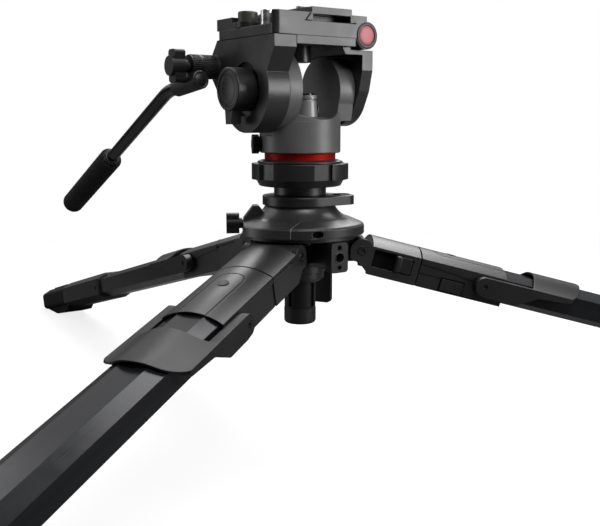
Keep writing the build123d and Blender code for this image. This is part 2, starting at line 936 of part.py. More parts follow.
# Crown cover: disc with three flats, dome, level ring spigot and the lock knob's boss
knob_axis_height = cover_bottom + lock_knob_height
with BuildPart() as crown_cover:
    with BuildSketch(Plane.XZ):
        with BuildLine():
            Polyline(
                (column_radius + column_play, spigot_top),
                (column_radius + column_play, cover_bottom),
                (cover_radius, cover_bottom),
                (cover_radius, rim_top - rim_chamfer),
                (cover_radius - rim_chamfer, rim_top),
                (slope_radius, rim_top + slope_rise),
            )
            ThreePointArc(
                (slope_radius, rim_top + slope_rise),
                (dome_radius + (slope_radius - dome_radius) * 0.4, rim_top + slope_rise * 1.85),
                (dome_radius, dome_top),
            )
            Polyline(
                (dome_radius, dome_top),
                (spigot_radius, dome_top),
                (spigot_radius, spigot_top),
                (column_radius + column_play, spigot_top),
            )
        make_face()
    revolve(axis=Axis.Z)
    for azimuth in between_azimuths:
        with BuildSketch(outward_plane(azimuth, cover_flat_reach, cover_bottom)):
            Rectangle(2 * cover_radius, 2 * (rim_height + slope_rise))
        extrude(amount=cover_radius, mode=Mode.SUBTRACT)
    with BuildSketch(radial_plane(boss_azimuth)):
        with BuildLine():
            Polyline(
                (boss_root_radius, cover_bottom),
                (boss_root_radius, rim_top + slope_rise),
                (boss_crest_radius, dome_top - boss_crest_drop),
                (boss_crest_radius + boss_crest_length, dome_top - boss_crest_drop),
                (boss_reach, cover_bottom + boss_end_height),
                (boss_reach, cover_bottom),
                close=True,
            )
        make_face()
    extrude(amount=boss_half_width, both=True)
    with BuildSketch(outward_plane(boss_azimuth, 0, knob_axis_height)):
        Circle(lock_knob_shaft_radius + running_gap)
    extrude(amount=cover_radius, mode=Mode.SUBTRACT)
    with BuildSketch(outward_plane(rim_slot_azimuth, cover_radius, cover_bottom + rim_height / 2)):
        SlotOverall(rim_slot_length, rim_slot_height)
    extrude(amount=-rim_slot_depth, mode=Mode.SUBTRACT)
    for azimuth in between_azimuths:
        for spread in (-crown_screw_spread, crown_screw_spread):
            angle = radians(azimuth + spread)
            with BuildSketch(Plane.XY.offset(cover_bottom)):
                with Locations((crown_screw_circle * cos(angle), crown_screw_circle * sin(angle))):
                    Circle(crown_screw_radius + seat_gap)
            extrude(amount=crown_screw_length - lip_thickness + seat_gap, mode=Mode.SUBTRACT)
write_piece(crown_cover.part, "crown_cover")

# Crown screws, driven up through the lip into the cover
with BuildPart() as crown_screws:
    for azimuth in between_azimuths:
        for spread in (-crown_screw_spread, crown_screw_spread):
            angle = radians(azimuth + spread)
            place = (crown_screw_circle * cos(angle), crown_screw_circle * sin(angle))
            with BuildSketch(Plane.XY.offset(lip_bottom)):
                with Locations(place):
                    Circle(crown_screw_radius)
            extrude(amount=crown_screw_length)
            with BuildSketch(Plane.XY.offset(lip_bottom)):
                with Locations(place):
                    Circle(crown_screw_head_radius)
            extrude(amount=-crown_screw_head_height)
write_piece(crown_screws.part, "crown_screws")

# Leg hinge pins, flush with the shoulders' sides
with BuildPart() as leg_hinge_pins:
    for azimuth in leg_azimuths:
        with BuildSketch(radial_plane(azimuth)):
            with Locations((hinge_radius, hinge_height)):
                Circle(hinge_pin_radius)
        extrude(amount=leg_half_width, both=True)
write_piece(leg_hinge_pins.part, "leg_hinge_pins")

# Column guide bush: sleeve in the barrel, tapered flange below it and two keys
with BuildPart() as column_guide_bush:
    flange_top = barrel_bottom - face_gap
    flange_bottom = flange_top - bush_flange_length
    bore_radius = column_radius + running_gap
    with BuildSketch(Plane.XZ):
        with BuildLine():
            Polyline(
                (bore_radius, flange_bottom),
                (bush_nose_radius, flange_bottom),
                (bush_flange_radius, flange_bottom + bush_nose_length),
                (bush_flange_radius, flange_top),
                (bush_radius, flange_top),
                (bush_radius, cover_bottom - face_gap),
                (bore_radius, cover_bottom - face_gap),
                close=True,
            )
        make_face()
    revolve(axis=Axis.Z)
    for azimuth in column_slot_azimuths[::2]:
        key_reach = column_radius - column_slot_depth + bush_key_gap
        with BuildSketch(outward_plane(azimuth, key_reach, flange_bottom)):
            Rectangle(
                column_slot_width - 2 * bush_key_gap,
                cover_bottom - face_gap - flange_bottom,
                align=(Align.CENTER, Align.MIN),
            )
        extrude(amount=column_slot_depth)
write_piece(column_guide_bush.part, "column_guide_bush")

# Accessory plate: threaded centre hole between two pin holes
with BuildPart() as accessory_plate:
    plate_face = outward_plane(
        between_azimuths[0], arm_reach + accessory_thickness, lip_bottom - accessory_centre_drop - face_gap
    )
    with BuildSketch(plate_face):
        RectangleRounded(2 * accessory_half_width, accessory_height - 2 * face_gap, accessory_corner)
    extrude(amount=-accessory_thickness)
    with BuildSketch(plate_face):
        Circle(accessory_thread_radius)
    extrude(amount=-accessory_thickness, mode=Mode.SUBTRACT)
    with BuildSketch(plate_face):
        with GridLocations(0, accessory_pin_spacing, 1, 2):
            Circle(accessory_pin_radius)
    extrude(amount=-accessory_pin_depth, mode=Mode.SUBTRACT)
write_piece(accessory_plate.part, "accessory_plate")

# Rear hanger plate on its lug
with BuildPart() as rear_hanger_plate:
    hanger_middle = lip_bottom - face_gap - hanger_length / 2
    with BuildSketch(outward_plane(between_azimuths[1], lug_reach, hanger_middle)):
        RectangleRounded(2 * hanger_half_width, hanger_length, hanger_corner)
    extrude(amount=hanger_thickness)
write_piece(rear_hanger_plate.part, "rear_hanger_plate")

# Column lock knob: wing head on a screw that bears on the column
with BuildPart() as column_lock_knob:
    with BuildSketch(outward_plane(boss_azimuth, lock_knob_shaft_reach, knob_axis_height)):
        Circle(lock_knob_shaft_radius)
    extrude(amount=lock_knob_inner_reach - lock_knob_shaft_reach)
    collar_reach = lock_knob_inner_reach - lock_knob_collar_length
    with BuildSketch(outward_plane(boss_azimuth, collar_reach, knob_axis_height)):
        Circle(lock_knob_collar_radius)
    extrude(amount=lock_knob_collar_length)
    with BuildSketch(outward_plane(boss_azimuth, lock_knob_inner_reach, knob_axis_height)):
        RectangleRounded(2 * lock_knob_half_width, 2 * lock_knob_half_span, lock_knob_round)
        Circle(lock_knob_half_width + lock_knob_round / 2)
    extrude(amount=lock_knob_thickness)
write_piece(column_lock_knob.part, "column_lock_knob")

# Level ring with its lobe, and the glass vial in the lobe
lobe_angle = radians(level_lobe_azimuth)
lobe_place = (level_lobe_reach * cos(lobe_angle), level_lobe_reach * sin(lobe_angle))
with BuildPart() as level_ring:
    with BuildSketch(Plane.XY.offset(level_ring_bottom)):
        Circle(level_ring_radius)
        with Locations(lobe_place):
            Circle(level_lobe_radius)
        make_hull()
    extrude(amount=level_ring_thickness)
    fillet(level_ring.faces().group_by(Axis.Z)[-1].edges(), radius=level_ring_round)
    with BuildSketch(Plane.XY.offset(level_ring_bottom)):
        Circle(spigot_radius + running_gap)
    extrude(amount=level_ring_thickness, mode=Mode.SUBTRACT)
    with BuildSketch(Plane.XY.offset(level_ring_top - level_vial_sink)):
        with Locations(lobe_place):
            Circle(level_vial_radius + seat_gap)
    extrude(amount=level_vial_sink, mode=Mode.SUBTRACT)
write_piece(level_ring.part, "level_ring")
with BuildPart() as level_vial:
    with BuildSketch(Plane.XY.offset(level_ring_top - level_vial_sink)):
        with Locations(lobe_place):
            Circle(level_vial_radius)
    extrude(amount=level_vial_height)
write_piece(level_vial.part, "level_vial")

# Centre column with four key slots, and its end cap
with BuildPart() as centre_column:
    with BuildSketch(Plane.XY.offset(column_bottom)):
        Circle(column_radius)
        Circle(column_bore_radius, mode=Mode.SUBTRACT)
    extrude(amount=column_top - column_bottom)
    for azimuth in column_slot_azimuths:
        with BuildSketch(
            outward_plane(azimuth, column_radius - column_slot_depth, column_bottom + column_slot_margin)
        ):
            Rectangle(
                column_slot_width,
                cover_bottom - column_bottom - column_slot_margin,
                align=(Align.CENTER, Align.MIN),
            )
        extrude(amount=2 * column_slot_depth, mode=Mode.SUBTRACT)
write_piece(centre_column.part, "centre_column")
with BuildPart() as column_end_cap:
    with BuildSketch(Plane.XY.offset(column_bottom)):
        Circle(column_cap_radius)
    extrude(amount=-column_cap_length)
    fillet(column_end_cap.faces().sort_by(Axis.Z)[0].edges(), radius=column_cap_round)
    with BuildSketch(Plane.XY.offset(column_bottom)):
        Circle(column_bore_radius - seat_gap)
    extrude(amount=column_cap_spigot)
write_piece(column_end_cap.part, "column_end_cap")

# Quick-release base on the column's top
with BuildPart() as quick_release_base:
    with BuildSketch(Plane.XZ):
        with BuildLine():
            Polyline(
                (0, neck_bottom),
                (neck_radius, neck_bottom),
                (neck_radius, stage_bottom),
                (stage_radius, stage_bottom),
                (stage_radius, stage_top),
                (stage_rim_radius, stage_top),
                (stage_rim_radius, stage_top + stage_rim_height / 2),
                (stage_rim_top_radius, red_ring_bottom),
                (0, red_ring_bottom),
                close=True,
            )
        make_face()
    revolve(axis=Axis.Z)
    with BuildSketch(Plane.XY.offset(neck_bottom)):
        Circle(column_radius + seat_gap)
    extrude(amount=stage_column_depth, mode=Mode.SUBTRACT)
write_piece(quick_release_base.part, "quick_release_base")

# Quick-release lock ring: tapered foot and flat-cut lobes
with BuildPart() as quick_release_ring:
    ring_bottom = stage_bottom + face_gap
    ring_top = stage_top - face_gap
    with BuildSketch(Plane.XZ):
        with BuildLine():
            Polyline(
                (0, ring_bottom),
                (lock_ring_foot_radius, ring_bottom),
                (lock_ring_radius, ring_bottom + lock_ring_taper),
                (0, ring_bottom + lock_ring_taper),
                close=True,
            )
        make_face()
    revolve(axis=Axis.Z)
    with BuildSketch(Plane.XY.offset(ring_bottom + lock_ring_taper)):
        Circle(lock_ring_lobe_radius)
        with PolarLocations(
            lock_ring_radius,
            lock_ring_lobes,
            start_angle=lock_ring_lobe_azimuth + 180 / lock_ring_lobes,
        ):
            Rectangle(
                2 * (lock_ring_lobe_radius - lock_ring_radius),
                lock_ring_recess_width,
                align=(Align.MIN, Align.CENTER),
                mode=Mode.SUBTRACT,
            )
    extrude(amount=ring_top - ring_bottom - lock_ring_taper)
    fillet(quick_release_ring.faces().sort_by(Axis.Z)[-1].edges(), radius=lock_ring_round)
    with BuildSketch(Plane.XY.offset(ring_bottom)):
        Circle(stage_radius + lock_ring_play)
    extrude(amount=ring_top - ring_bottom, mode=Mode.SUBTRACT)
write_piece(quick_release_ring.part, "quick_release_ring")

# Red base ring with the pan spindle
with BuildPart() as red_base_ring:
    with BuildSketch(Plane.XY.offset(red_ring_bottom)):
        Circle(red_ring_radius)
    extrude(amount=red_ring_height)
    with BuildSketch(Plane.XY.offset(red_ring_top)):
        Circle(spindle_radius)
    extrude(amount=spindle_length)
write_piece(red_base_ring.part, "red_base_ring")

# Pan housing: drum, two ears for the tilt axis, and a low mound between them
with BuildPart() as pan_housing:
    with BuildSketch(Plane.XY.offset(pan_bottom)):
        Circle(pan_radius)
    extrude(amount=pan_height)
    chamfer(pan_housing.faces().sort_by(Axis.Z)[0].edges(), length=pan_chamfer)
    with BuildSketch(Plane.XZ):
        with BuildLine():
            Polyline(
                (0, pan_top),
                (mound_radius, pan_top),
                (mound_top_radius, pan_top + mound_rise),
                (0, pan_top + mound_rise),
                close=True,
            )
        make_face()
    revolve(axis=Axis.Z)
    with BuildSketch(across_plane(left_ear_outer)):
        with Locations((0, tilt_axis)):
            Circle(left_ear_radius)
    extrude(amount=left_ear_inner - left_ear_outer)
    with BuildSketch(across_plane(right_ear_inner)):
        with Locations((0, tilt_axis)):
            Circle(right_ear_radius)
        with BuildLine():
            Polyline(
                (-right_ear_radius, tilt_axis),
                (right_ear_radius, tilt_axis),
                (right_ear_foot_half, pan_top),
                (-right_ear_foot_half, pan_top),
                close=True,
            )
        make_face()
    extrude(amount=right_ear_outer - right_ear_inner)
    # Room for the left cheek, which hangs lower than the drum's top
    with BuildSketch(across_plane(left_ear_outer)):
        with Locations((0, pan_bottom + relief_floor)):
            Rectangle(2 * pan_radius, pan_height, align=(Align.CENTER, Align.MIN))
    extrude(amount=-pan_radius, mode=Mode.SUBTRACT)
    with BuildSketch(across_plane(left_ear_outer)):
        with Locations((0, tilt_axis)):
            Circle(tilt_shaft_radius + seat_gap)
    extrude(amount=left_ear_inner - tilt_shaft_web - left_ear_outer, mode=Mode.SUBTRACT)
    with BuildSketch(across_plane(right_ear_outer)):
        with Locations((0, tilt_axis)):
            Circle(tilt_shaft_radius + seat_gap)
    extrude(amount=right_ear_inner + tilt_shaft_web - right_ear_outer, mode=Mode.SUBTRACT)
    with BuildSketch(Plane.XY.offset(pan_bottom)):
        Circle(spindle_radius + running_gap)
    extrude(amount=spindle_length - pan_gap + face_gap, mode=Mode.SUBTRACT)
    with BuildSketch(outward_plane(pan_knob_azimuth, pan_radius, pan_bottom + pan_knob_rise)):
        Circle(pan_knob_shaft_radius + running_gap)
    extrude(amount=-(pan_knob_shaft_depth + face_gap), mode=Mode.SUBTRACT)
write_piece(pan_housing.part, "pan_housing")

# Stub shafts of the tilt axis, one in each ear
with BuildPart() as tilt_stub_shafts:
    with BuildSketch(across_plane(cheek_inner - tilt_shaft_bite)):
        with Locations((0, tilt_axis)):
            Circle(tilt_shaft_radius)
    extrude(amount=left_ear_inner - tilt_shaft_web - cheek_inner + tilt_shaft_bite)
    with BuildSketch(across_plane(right_ear_inner + tilt_shaft_web)):
        with Locations((0, tilt_axis)):
            Circle(tilt_shaft_radius)
    extrude(amount=arm_inner + arm_thickness / 2 - right_ear_inner - tilt_shaft_web)
write_piece(tilt_stub_shafts.part, "tilt_stub_shafts")

# Head level post on the mound, and its glass vial
with BuildPart() as head_level_post:
    post_bottom = pan_top + mound_rise
    shank_top = post_bottom + post_height - post_cap_height - post_groove_height
    with BuildSketch(Plane.XY.offset(post_bottom)):
        with Locations((0, post_rear)):
            Circle(post_radius)
    with BuildSketch(Plane.XY.offset(shank_top)):
        with Locations((0, post_rear)):
            Circle(post_cap_radius)
    loft()
    with BuildSketch(Plane.XY.offset(shank_top)):
        with Locations((0, post_rear)):
            Circle(post_groove_radius)
    extrude(amount=post_groove_height)
    with BuildSketch(Plane.XY.offset(shank_top + post_groove_height)):
        with Locations((0, post_rear)):
            Circle(post_cap_radius)
    extrude(amount=post_cap_height)
write_piece(head_level_post.part, "head_level_post")
with BuildPart() as head_level_vial:
    with BuildSketch(Plane.XY.offset(post_bottom + post_height)):
        with Locations((0, post_rear)):
            Circle(post_vial_radius)
    extrude(amount=post_vial_height)
write_piece(head_level_vial.part, "head_level_vial")

# Pan lock knob: scalloped head on a screw
with BuildPart() as pan_lock_knob:
    knob_reach = pan_radius + pan_knob_standoff
    with BuildSketch(outward_plane(pan_knob_azimuth, knob_reach, pan_bottom + pan_knob_rise)):
        Circle(pan_knob_radius)
        with PolarLocations(pan_knob_radius + pan_knob_scallop_radius / 2, pan_knob_scallops):
            Circle(pan_knob_scallop_radius, mode=Mode.SUBTRACT)
    extrude(amount=pan_knob_thickness)
    with BuildSketch(outward_plane(pan_knob_azimuth, knob_reach, pan_bottom + pan_knob_rise)):
        Circle(pan_knob_shaft_radius)
    extrude(amount=-(pan_knob_shaft_depth + pan_knob_standoff))
write_piece(pan_lock_knob.part, "pan_lock_knob")

# Tilt body: block with a dovetail channel, a round right end and bays for the plate's catch
with BuildPart() as tilt_body:
    with BuildSketch(Plane.XZ.offset(-body_rear)):
        with Locations((body_left, body_bottom)):
            Rectangle(body_right - body_left, body_height, align=(Align.MIN, Align.MIN))
        with Locations((body_right, body_bottom + barrel_rise)):
            Circle(hinge_barrel_radius)
    extrude(amount=body_rear - body_front)
    fillet(tilt_body.edges().filter_by(Axis.Z).group_by(Axis.X)[0], radius=body_corner)
    with BuildSketch(Plane.XZ.offset(-body_rear)):
        with BuildLine():
            Polyline(
                (-channel_half_width, channel_bottom),
                (channel_half_width, channel_bottom),
                (channel_mouth_half_width, body_top),
                (-channel_mouth_half_width, body_top),
                close=True,
            )
        make_face()
    extrude(amount=body_rear - body_front, mode=Mode.SUBTRACT)
    with BuildSketch(Plane.XY.offset(body_bottom + lever_bay_floor)):
        with Locations((body_left, lever_bay_front)):
            Rectangle(lever_bay_width, body_rear - lever_bay_front, align=(Align.MIN, Align.MIN))
        with Locations((body_left, pin_bay_front)):
            Rectangle(pin_bay_width, lever_bay_front - pin_bay_front, align=(Align.MIN, Align.MIN))
    extrude(amount=body_height, mode=Mode.SUBTRACT)
    with BuildSketch(Plane.XY.offset(body_bottom + lever_bay_floor)):
        with Locations((hub_left, hub_rear)):
            Circle(hub_stub_radius + running_gap)
    extrude(amount=-(hub_stub_length + face_gap), mode=Mode.SUBTRACT)
    with BuildSketch(Plane.XY.offset(body_top)):
        with Locations((pin_left, pin_rear)):
            Circle(pin_radius + running_gap)
    extrude(amount=-(body_height - lever_bay_floor + pin_bore_depth), mode=Mode.SUBTRACT)
write_piece(tilt_body.part, "tilt_body")

# Left cheek: disc on the tilt axis, brow under the body and the lug of the handle's rosette
with BuildPart() as left_cheek:
    with BuildSketch(across_plane(cheek_outer)):
        with Locations((0, tilt_axis)):
            Circle(cheek_radius)
        with Locations((rosette_rear, tilt_axis + rosette_rise)):
            Circle(rosette_lug_radius)
        with Locations((body_rear, body_bottom)):
            Rectangle(body_rear, 1, align=(Align.MAX, Align.MAX))
        make_hull()
        with BuildLine():
            Polyline(
                (0, body_bottom),
                (body_front, body_bottom),
                (body_front, body_bottom - cheek_brow_height),
                (-cheek_waist_reach, tilt_axis + cheek_waist_rise),
                (0, tilt_axis),
                close=True,
            )
        make_face()
    extrude(amount=cheek_inner - cheek_outer)
    with BuildSketch(across_plane(cheek_outer)):
        with Locations((rosette_rear, tilt_axis + rosette_rise)):
            Circle(rosette_radius)
    extrude(amount=-rosette_length)
    with BuildSketch(across_plane(rosette_face)):
        with Locations((rosette_rear, tilt_axis + rosette_rise)):
            Circle(rosette_bolt_radius + running_gap)
    extrude(amount=rosette_bolt_depth, mode=Mode.SUBTRACT)
    with BuildSketch(across_plane(cheek_inner)):
        with Locations((0, tilt_axis)):
            Circle(tilt_shaft_radius + running_gap)
    extrude(amount=-(tilt_shaft_bite + face_gap), mode=Mode.SUBTRACT)
    with BuildSketch(across_plane(cheek_outer)):
        with Locations((0, tilt_axis)):
            Circle(tilt_knob_recess_radius)
    extrude(amount=tilt_knob_recess_depth, mode=Mode.SUBTRACT)
    with BuildSketch(across_plane(cheek_outer)):
        with Locations((0, tilt_axis)):
            Circle(tilt_knob_shaft_radius + running_gap)
    extrude(amount=tilt_knob_shaft_length, mode=Mode.SUBTRACT)
write_piece(left_cheek.part, "left_cheek")

# Right arm: bar under the body, corner, and a disc plate on the tilt axis
with BuildPart() as right_arm:
    arm_head = body_bottom + barrel_rise - hinge_barrel_radius - arm_head_drop
    arm_shoulder = arm_head - arm_shoulder_height
    bar_bottom = body_bottom - bar_thickness
    elbow_bottom = tilt_axis + right_ear_radius + side_gap
    with BuildSketch(Plane.XZ):
        with BuildLine():
            Polyline(
                (left_ear_outer, body_bottom),
                (bar_right, body_bottom),
                (bar_right, arm_head),
                (arm_outer, arm_head),
                (arm_outer, arm_shoulder),
                (arm_inner, arm_shoulder),
                (arm_inner, elbow_bottom),
                (elbow_left, elbow_bottom),
                (elbow_left - bar_corner, bar_bottom),
                (left_ear_outer, bar_bottom),
                close=True,
            )
        make_face()
    extrude(amount=arm_top_half, both=True)
    with BuildSketch(Plane.XZ.offset(-body_front)):
        with Locations((left_ear_outer, body_bottom)):
            Rectangle(bar_right - left_ear_outer, bar_lip_height, align=(Align.MIN, Align.MAX))
    extrude(amount=body_front + arm_top_half)
    with BuildSketch(across_plane(arm_inner)):
        with Locations((0, tilt_axis)):
            Circle(arm_radius)
            Rectangle(2 * arm_waist_half, 1)
        with Locations((0, arm_shoulder)):
            Rectangle(2 * arm_top_half, 1, align=(Align.CENTER, Align.MIN))
        make_hull()
    extrude(amount=arm_thickness)
    with BuildSketch(Plane.XY.offset(bar_bottom)):
        with Locations((bar_boss_left, 0)):
            Circle(bar_boss_radius)
    extrude(amount=-bar_boss_drop)
    with BuildSketch(across_plane(arm_inner)):
        with Locations((0, tilt_axis)):
            Circle(tilt_shaft_radius + running_gap)
    extrude(amount=arm_thickness / 2 + face_gap, mode=Mode.SUBTRACT)
write_piece(right_arm.part, "right_arm")

# Tilt lock knob: drum with a pointer tail, on a shaft into the cheek
with BuildPart() as tilt_lock_knob:
    knob_back = cheek_outer + tilt_knob_recess_depth - tilt_knob_standoff
    with BuildSketch(across_plane(tilt_knob_face)):
        with Locations((0, tilt_axis)):
            Circle(tilt_knob_radius)
    extrude(amount=knob_back - tilt_knob_face)
    fillet(tilt_lock_knob.faces().sort_by(Axis.X)[0].edges(), radius=tilt_knob_edge)
    with BuildSketch(across_plane(tilt_knob_face + tilt_tail_inset)):
        with BuildLine():
            Polyline(
                (-tilt_tail_half_root, tilt_axis - tilt_tail_half_root),
                (tilt_tail_lean - tilt_tail_half_tip, tilt_axis - tilt_tail_reach),
                (tilt_tail_lean + tilt_tail_half_tip, tilt_axis - tilt_tail_reach),
                (tilt_tail_half_root, tilt_axis - tilt_tail_half_root),
                close=True,
            )
        make_face()
    extrude(amount=tilt_tail_thickness)
    with BuildSketch(across_plane(tilt_knob_face)):
        with Locations((0, tilt_axis)):
            Circle(tilt_knob_dish_radius)
    extrude(amount=tilt_knob_dish_depth, mode=Mode.SUBTRACT)
    with BuildSketch(across_plane(knob_back)):
        with Locations((0, tilt_axis)):
            Circle(tilt_knob_shaft_radius)
    extrude(amount=cheek_outer + tilt_knob_shaft_length - face_gap - knob_back)
write_piece(tilt_lock_knob.part, "tilt_lock_knob")

# Plate lock lever: eye round its hub and a thumb block
lever_floor = body_bottom + lever_bay_floor + face_gap
with BuildPart() as plate_lock_lever:
    with BuildSketch(Plane.XY.offset(lever_floor)):
        with Locations((hub_left, hub_rear)):
            Circle(lever_eye_radius)
        with Locations((thumb_left, hub_rear)):
            Rectangle(thumb_width, thumb_rear - hub_rear, align=(Align.MIN, Align.MIN))
    extrude(amount=lever_eye_height)
    with BuildSketch(Plane.XY.offset(lever_floor)):
        with Locations((thumb_left, thumb_front)):
            Rectangle(thumb_width, thumb_rear - thumb_front, align=(Align.MIN, Align.MIN))
    extrude(amount=thumb_height)
    fillet(plate_lock_lever.edges().filter_by(Axis.Z).group_by(Axis.Y)[-1], radius=thumb_round)
    with BuildSketch(Plane.XY.offset(lever_floor)):
        with Locations((hub_left, hub_rear)):
            Circle(hub_radius + seat_gap)
    extrude(amount=lever_eye_height, mode=Mode.SUBTRACT)
write_piece(plate_lock_lever.part, "plate_lock_lever")
with BuildPart() as lever_hub:
    with BuildSketch(Plane.XY.offset(lever_floor)):
        with Locations((hub_left, hub_rear)):
            Circle(hub_radius)
    extrude(amount=hub_height)
    fillet(lever_hub.faces().sort_by(Axis.Z)[-1].edges(), radius=hub_top_round)
    with BuildSketch(Plane.XY.offset(lever_floor)):
        with Locations((hub_left, hub_rear)):
            Circle(hub_stub_radius)
    extrude(amount=-(hub_stub_length + face_gap))
write_piece(lever_hub.part, "lever_hub")

# Trigger pin that a plate pushes down as it is laid in
with BuildPart() as trigger_pin:
    with BuildSketch(Plane.XY.offset(body_bottom + lever_bay_floor - pin_sink)):
        with Locations((pin_left, pin_rear)):
            Circle(pin_radius)
    extrude(amount=pin_sink + pin_height)
    fillet(trigger_pin.faces().sort_by(Axis.Z)[-1].edges(), radius=pin_round)
write_piece(trigger_pin.part, "trigger_pin")

# Sliding plate with its dovetail, and the camera screw held in it
with BuildPart() as sliding_plate:
    with BuildSketch(Plane.XZ.offset(-plate_rear)):
        with BuildLine():
            Polyline(
                (-plate_half_width, plate_bottom),
                (plate_half_width, plate_bottom),
                (plate_mouth_half_width, plate_bottom + plate_shoulder),
                (plate_mouth_half_width, plate_top),
                (-plate_mouth_half_width, plate_top),
                (-plate_mouth_half_width, plate_bottom + plate_shoulder),
                close=True,
            )
        make_face()
    extrude(amount=plate_rear - plate_front)
    with BuildSketch(Plane.XY.offset(plate_bottom)):
        with Locations((0, plate_front)):
            Rectangle(2 * plate_pocket_half, plate_pocket_length, align=(Align.CENTER, Align.MIN))
    extrude(amount=plate_pocket_height, mode=Mode.SUBTRACT)
    with BuildSketch(Plane.XY.offset(plate_bottom)):
        SlotOverall(plate_screw_slot, 2 * (screw_head_radius + screw_pocket_play), rotation=90)
    extrude(amount=screw_pocket_height, mode=Mode.SUBTRACT)
    with BuildSketch(Plane.XY.offset(plate_bottom)):
        Circle(screw_radius + screw_hole_play)
    extrude(amount=plate_height, mode=Mode.SUBTRACT)
write_piece(sliding_plate.part, "sliding_plate")
with BuildPart() as camera_screw:
    with BuildSketch(Plane.XY.offset(plate_bottom + screw_head_lift)):
        Circle(screw_head_radius)
    extrude(amount=screw_head_height)
    with BuildSketch(Plane.XY.offset(plate_bottom + screw_head_lift)):
        Circle(screw_neck_radius)
    extrude(amount=screw_bottom - plate_bottom - screw_head_lift)
    with BuildSketch(Plane.XY.offset(screw_bottom)):
        Circle(screw_radius)
    extrude(amount=screw_reach)
write_piece(camera_screw.part, "camera_screw")

# Pan handle: rosette clamp with a socket, bent rod and grip
droop = radians(handle_droop)
slope = radians(handle_slope)
socket_start = (socket_front, tilt_axis + socket_rise)
bend_point = (
    socket_front + handle_bend_reach,
    tilt_axis + socket_rise - handle_bend_reach * tan(droop),
)
handle_tip = (
    bend_point[0] + handle_length * cos(slope),
    bend_point[1] - handle_length * sin(slope),
)
rod_start = (
    socket_start[0] + socket_plug * cos(droop),
    socket_start[1] - socket_plug * sin(droop),
)
rod_end = (
    handle_tip[0] - grip_end * cos(slope),
    handle_tip[1] + grip_end * sin(slope),
)
grip_start = (
    handle_tip[0] - grip_length * cos(slope),
    handle_tip[1] + grip_length * sin(slope),
)
socket_plane = Plane(
    (handle_plane_x, socket_start[0], socket_start[1]), x_dir=(1, 0, 0), z_dir=(0, cos(droop), -sin(droop))
)
grip_plane = Plane(
    (handle_plane_x, grip_start[0], grip_start[1]), x_dir=(1, 0, 0), z_dir=(0, cos(slope), -sin(slope))
)
with BuildPart() as handle_clamp:
    with BuildSketch(across_plane(clamp_right)):
        with Locations((rosette_rear, tilt_axis + rosette_rise)):
            Circle(rosette_radius)
    extrude(amount=-clamp_length)
    with BuildSketch(socket_plane):
        Circle(socket_radius)
    extrude(amount=socket_length)
    with BuildSketch(socket_plane.offset(socket_plug)):
        Circle(rod_radius + seat_gap)
    extrude(amount=socket_length, mode=Mode.SUBTRACT)
    with BuildSketch(across_plane(clamp_right)):
        with Locations((rosette_rear, tilt_axis + rosette_rise)):
            Circle(rosette_bolt_radius + running_gap)
    extrude(amount=-clamp_length, mode=Mode.SUBTRACT)
write_piece(handle_clamp.part, "handle_clamp")
with BuildPart() as handle_rod:
    with BuildLine(across_plane(handle_plane_x)):
        FilletPolyline(rod_start, bend_point, rod_end, radius=handle_bend_radius)
    with BuildSketch(socket_plane.offset(socket_plug)):
        Circle(rod_radius)
    sweep()
write_piece(handle_rod.part, "handle_rod")
with BuildPart() as handle_grip:
    with BuildSketch(grip_plane):
        Circle(grip_radius)
    extrude(amount=grip_length)
    fillet(handle_grip.edges().sort_by(Axis.Y)[0], radius=grip_start_round)
    fillet(handle_grip.edges().sort_by(Axis.Y)[-1], radius=grip_end_round)
    with BuildSketch(grip_plane):
        Circle(rod_radius + seat_gap)
    extrude(amount=grip_length - grip_end, mode=Mode.SUBTRACT)
write_piece(handle_grip.part, "handle_grip")

# Rosette knob: wings on a bolt through the clamp
with BuildPart() as rosette_knob:
    stem_right = clamp_left - rosette_knob_gap
    stem_left = stem_right - rosette_stem_length
    with BuildSketch(across_plane(stem_right)):
        with Locations((rosette_rear, tilt_axis + rosette_rise)):
            Circle(rosette_stem_radius)
    extrude(amount=-rosette_stem_length)
    with BuildSketch(across_plane(stem_left)):
        with Locations((rosette_rear, tilt_axis + rosette_rise)):
            RectangleRounded(2 * rosette_wing_half_width, 2 * rosette_wing_half_span, rosette_wing_round)
    extrude(amount=-rosette_wing_length)
    with BuildSketch(across_plane(stem_left)):
        with Locations((rosette_rear, tilt_axis + rosette_rise)):
            Circle(rosette_hub_radius)
    extrude(amount=-(rosette_wing_length + rosette_hub_proud))
    with BuildSketch(across_plane(stem_right)):
        with Locations((rosette_rear, tilt_axis + rosette_rise)):
            Circle(rosette_bolt_radius)
    extrude(amount=rosette_face + rosette_bolt_depth - face_gap - stem_right)
write_piece(rosette_knob.part, "rosette_knob")
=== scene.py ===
"""Looks of a fluid video head on a low, wide-spread tripod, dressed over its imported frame."""

import json
import logging
import math
from dataclasses import dataclass
from enum import Enum
from typing import Iterable, Sequence

import bmesh
import bpy
from mathutils import Matrix, Vector


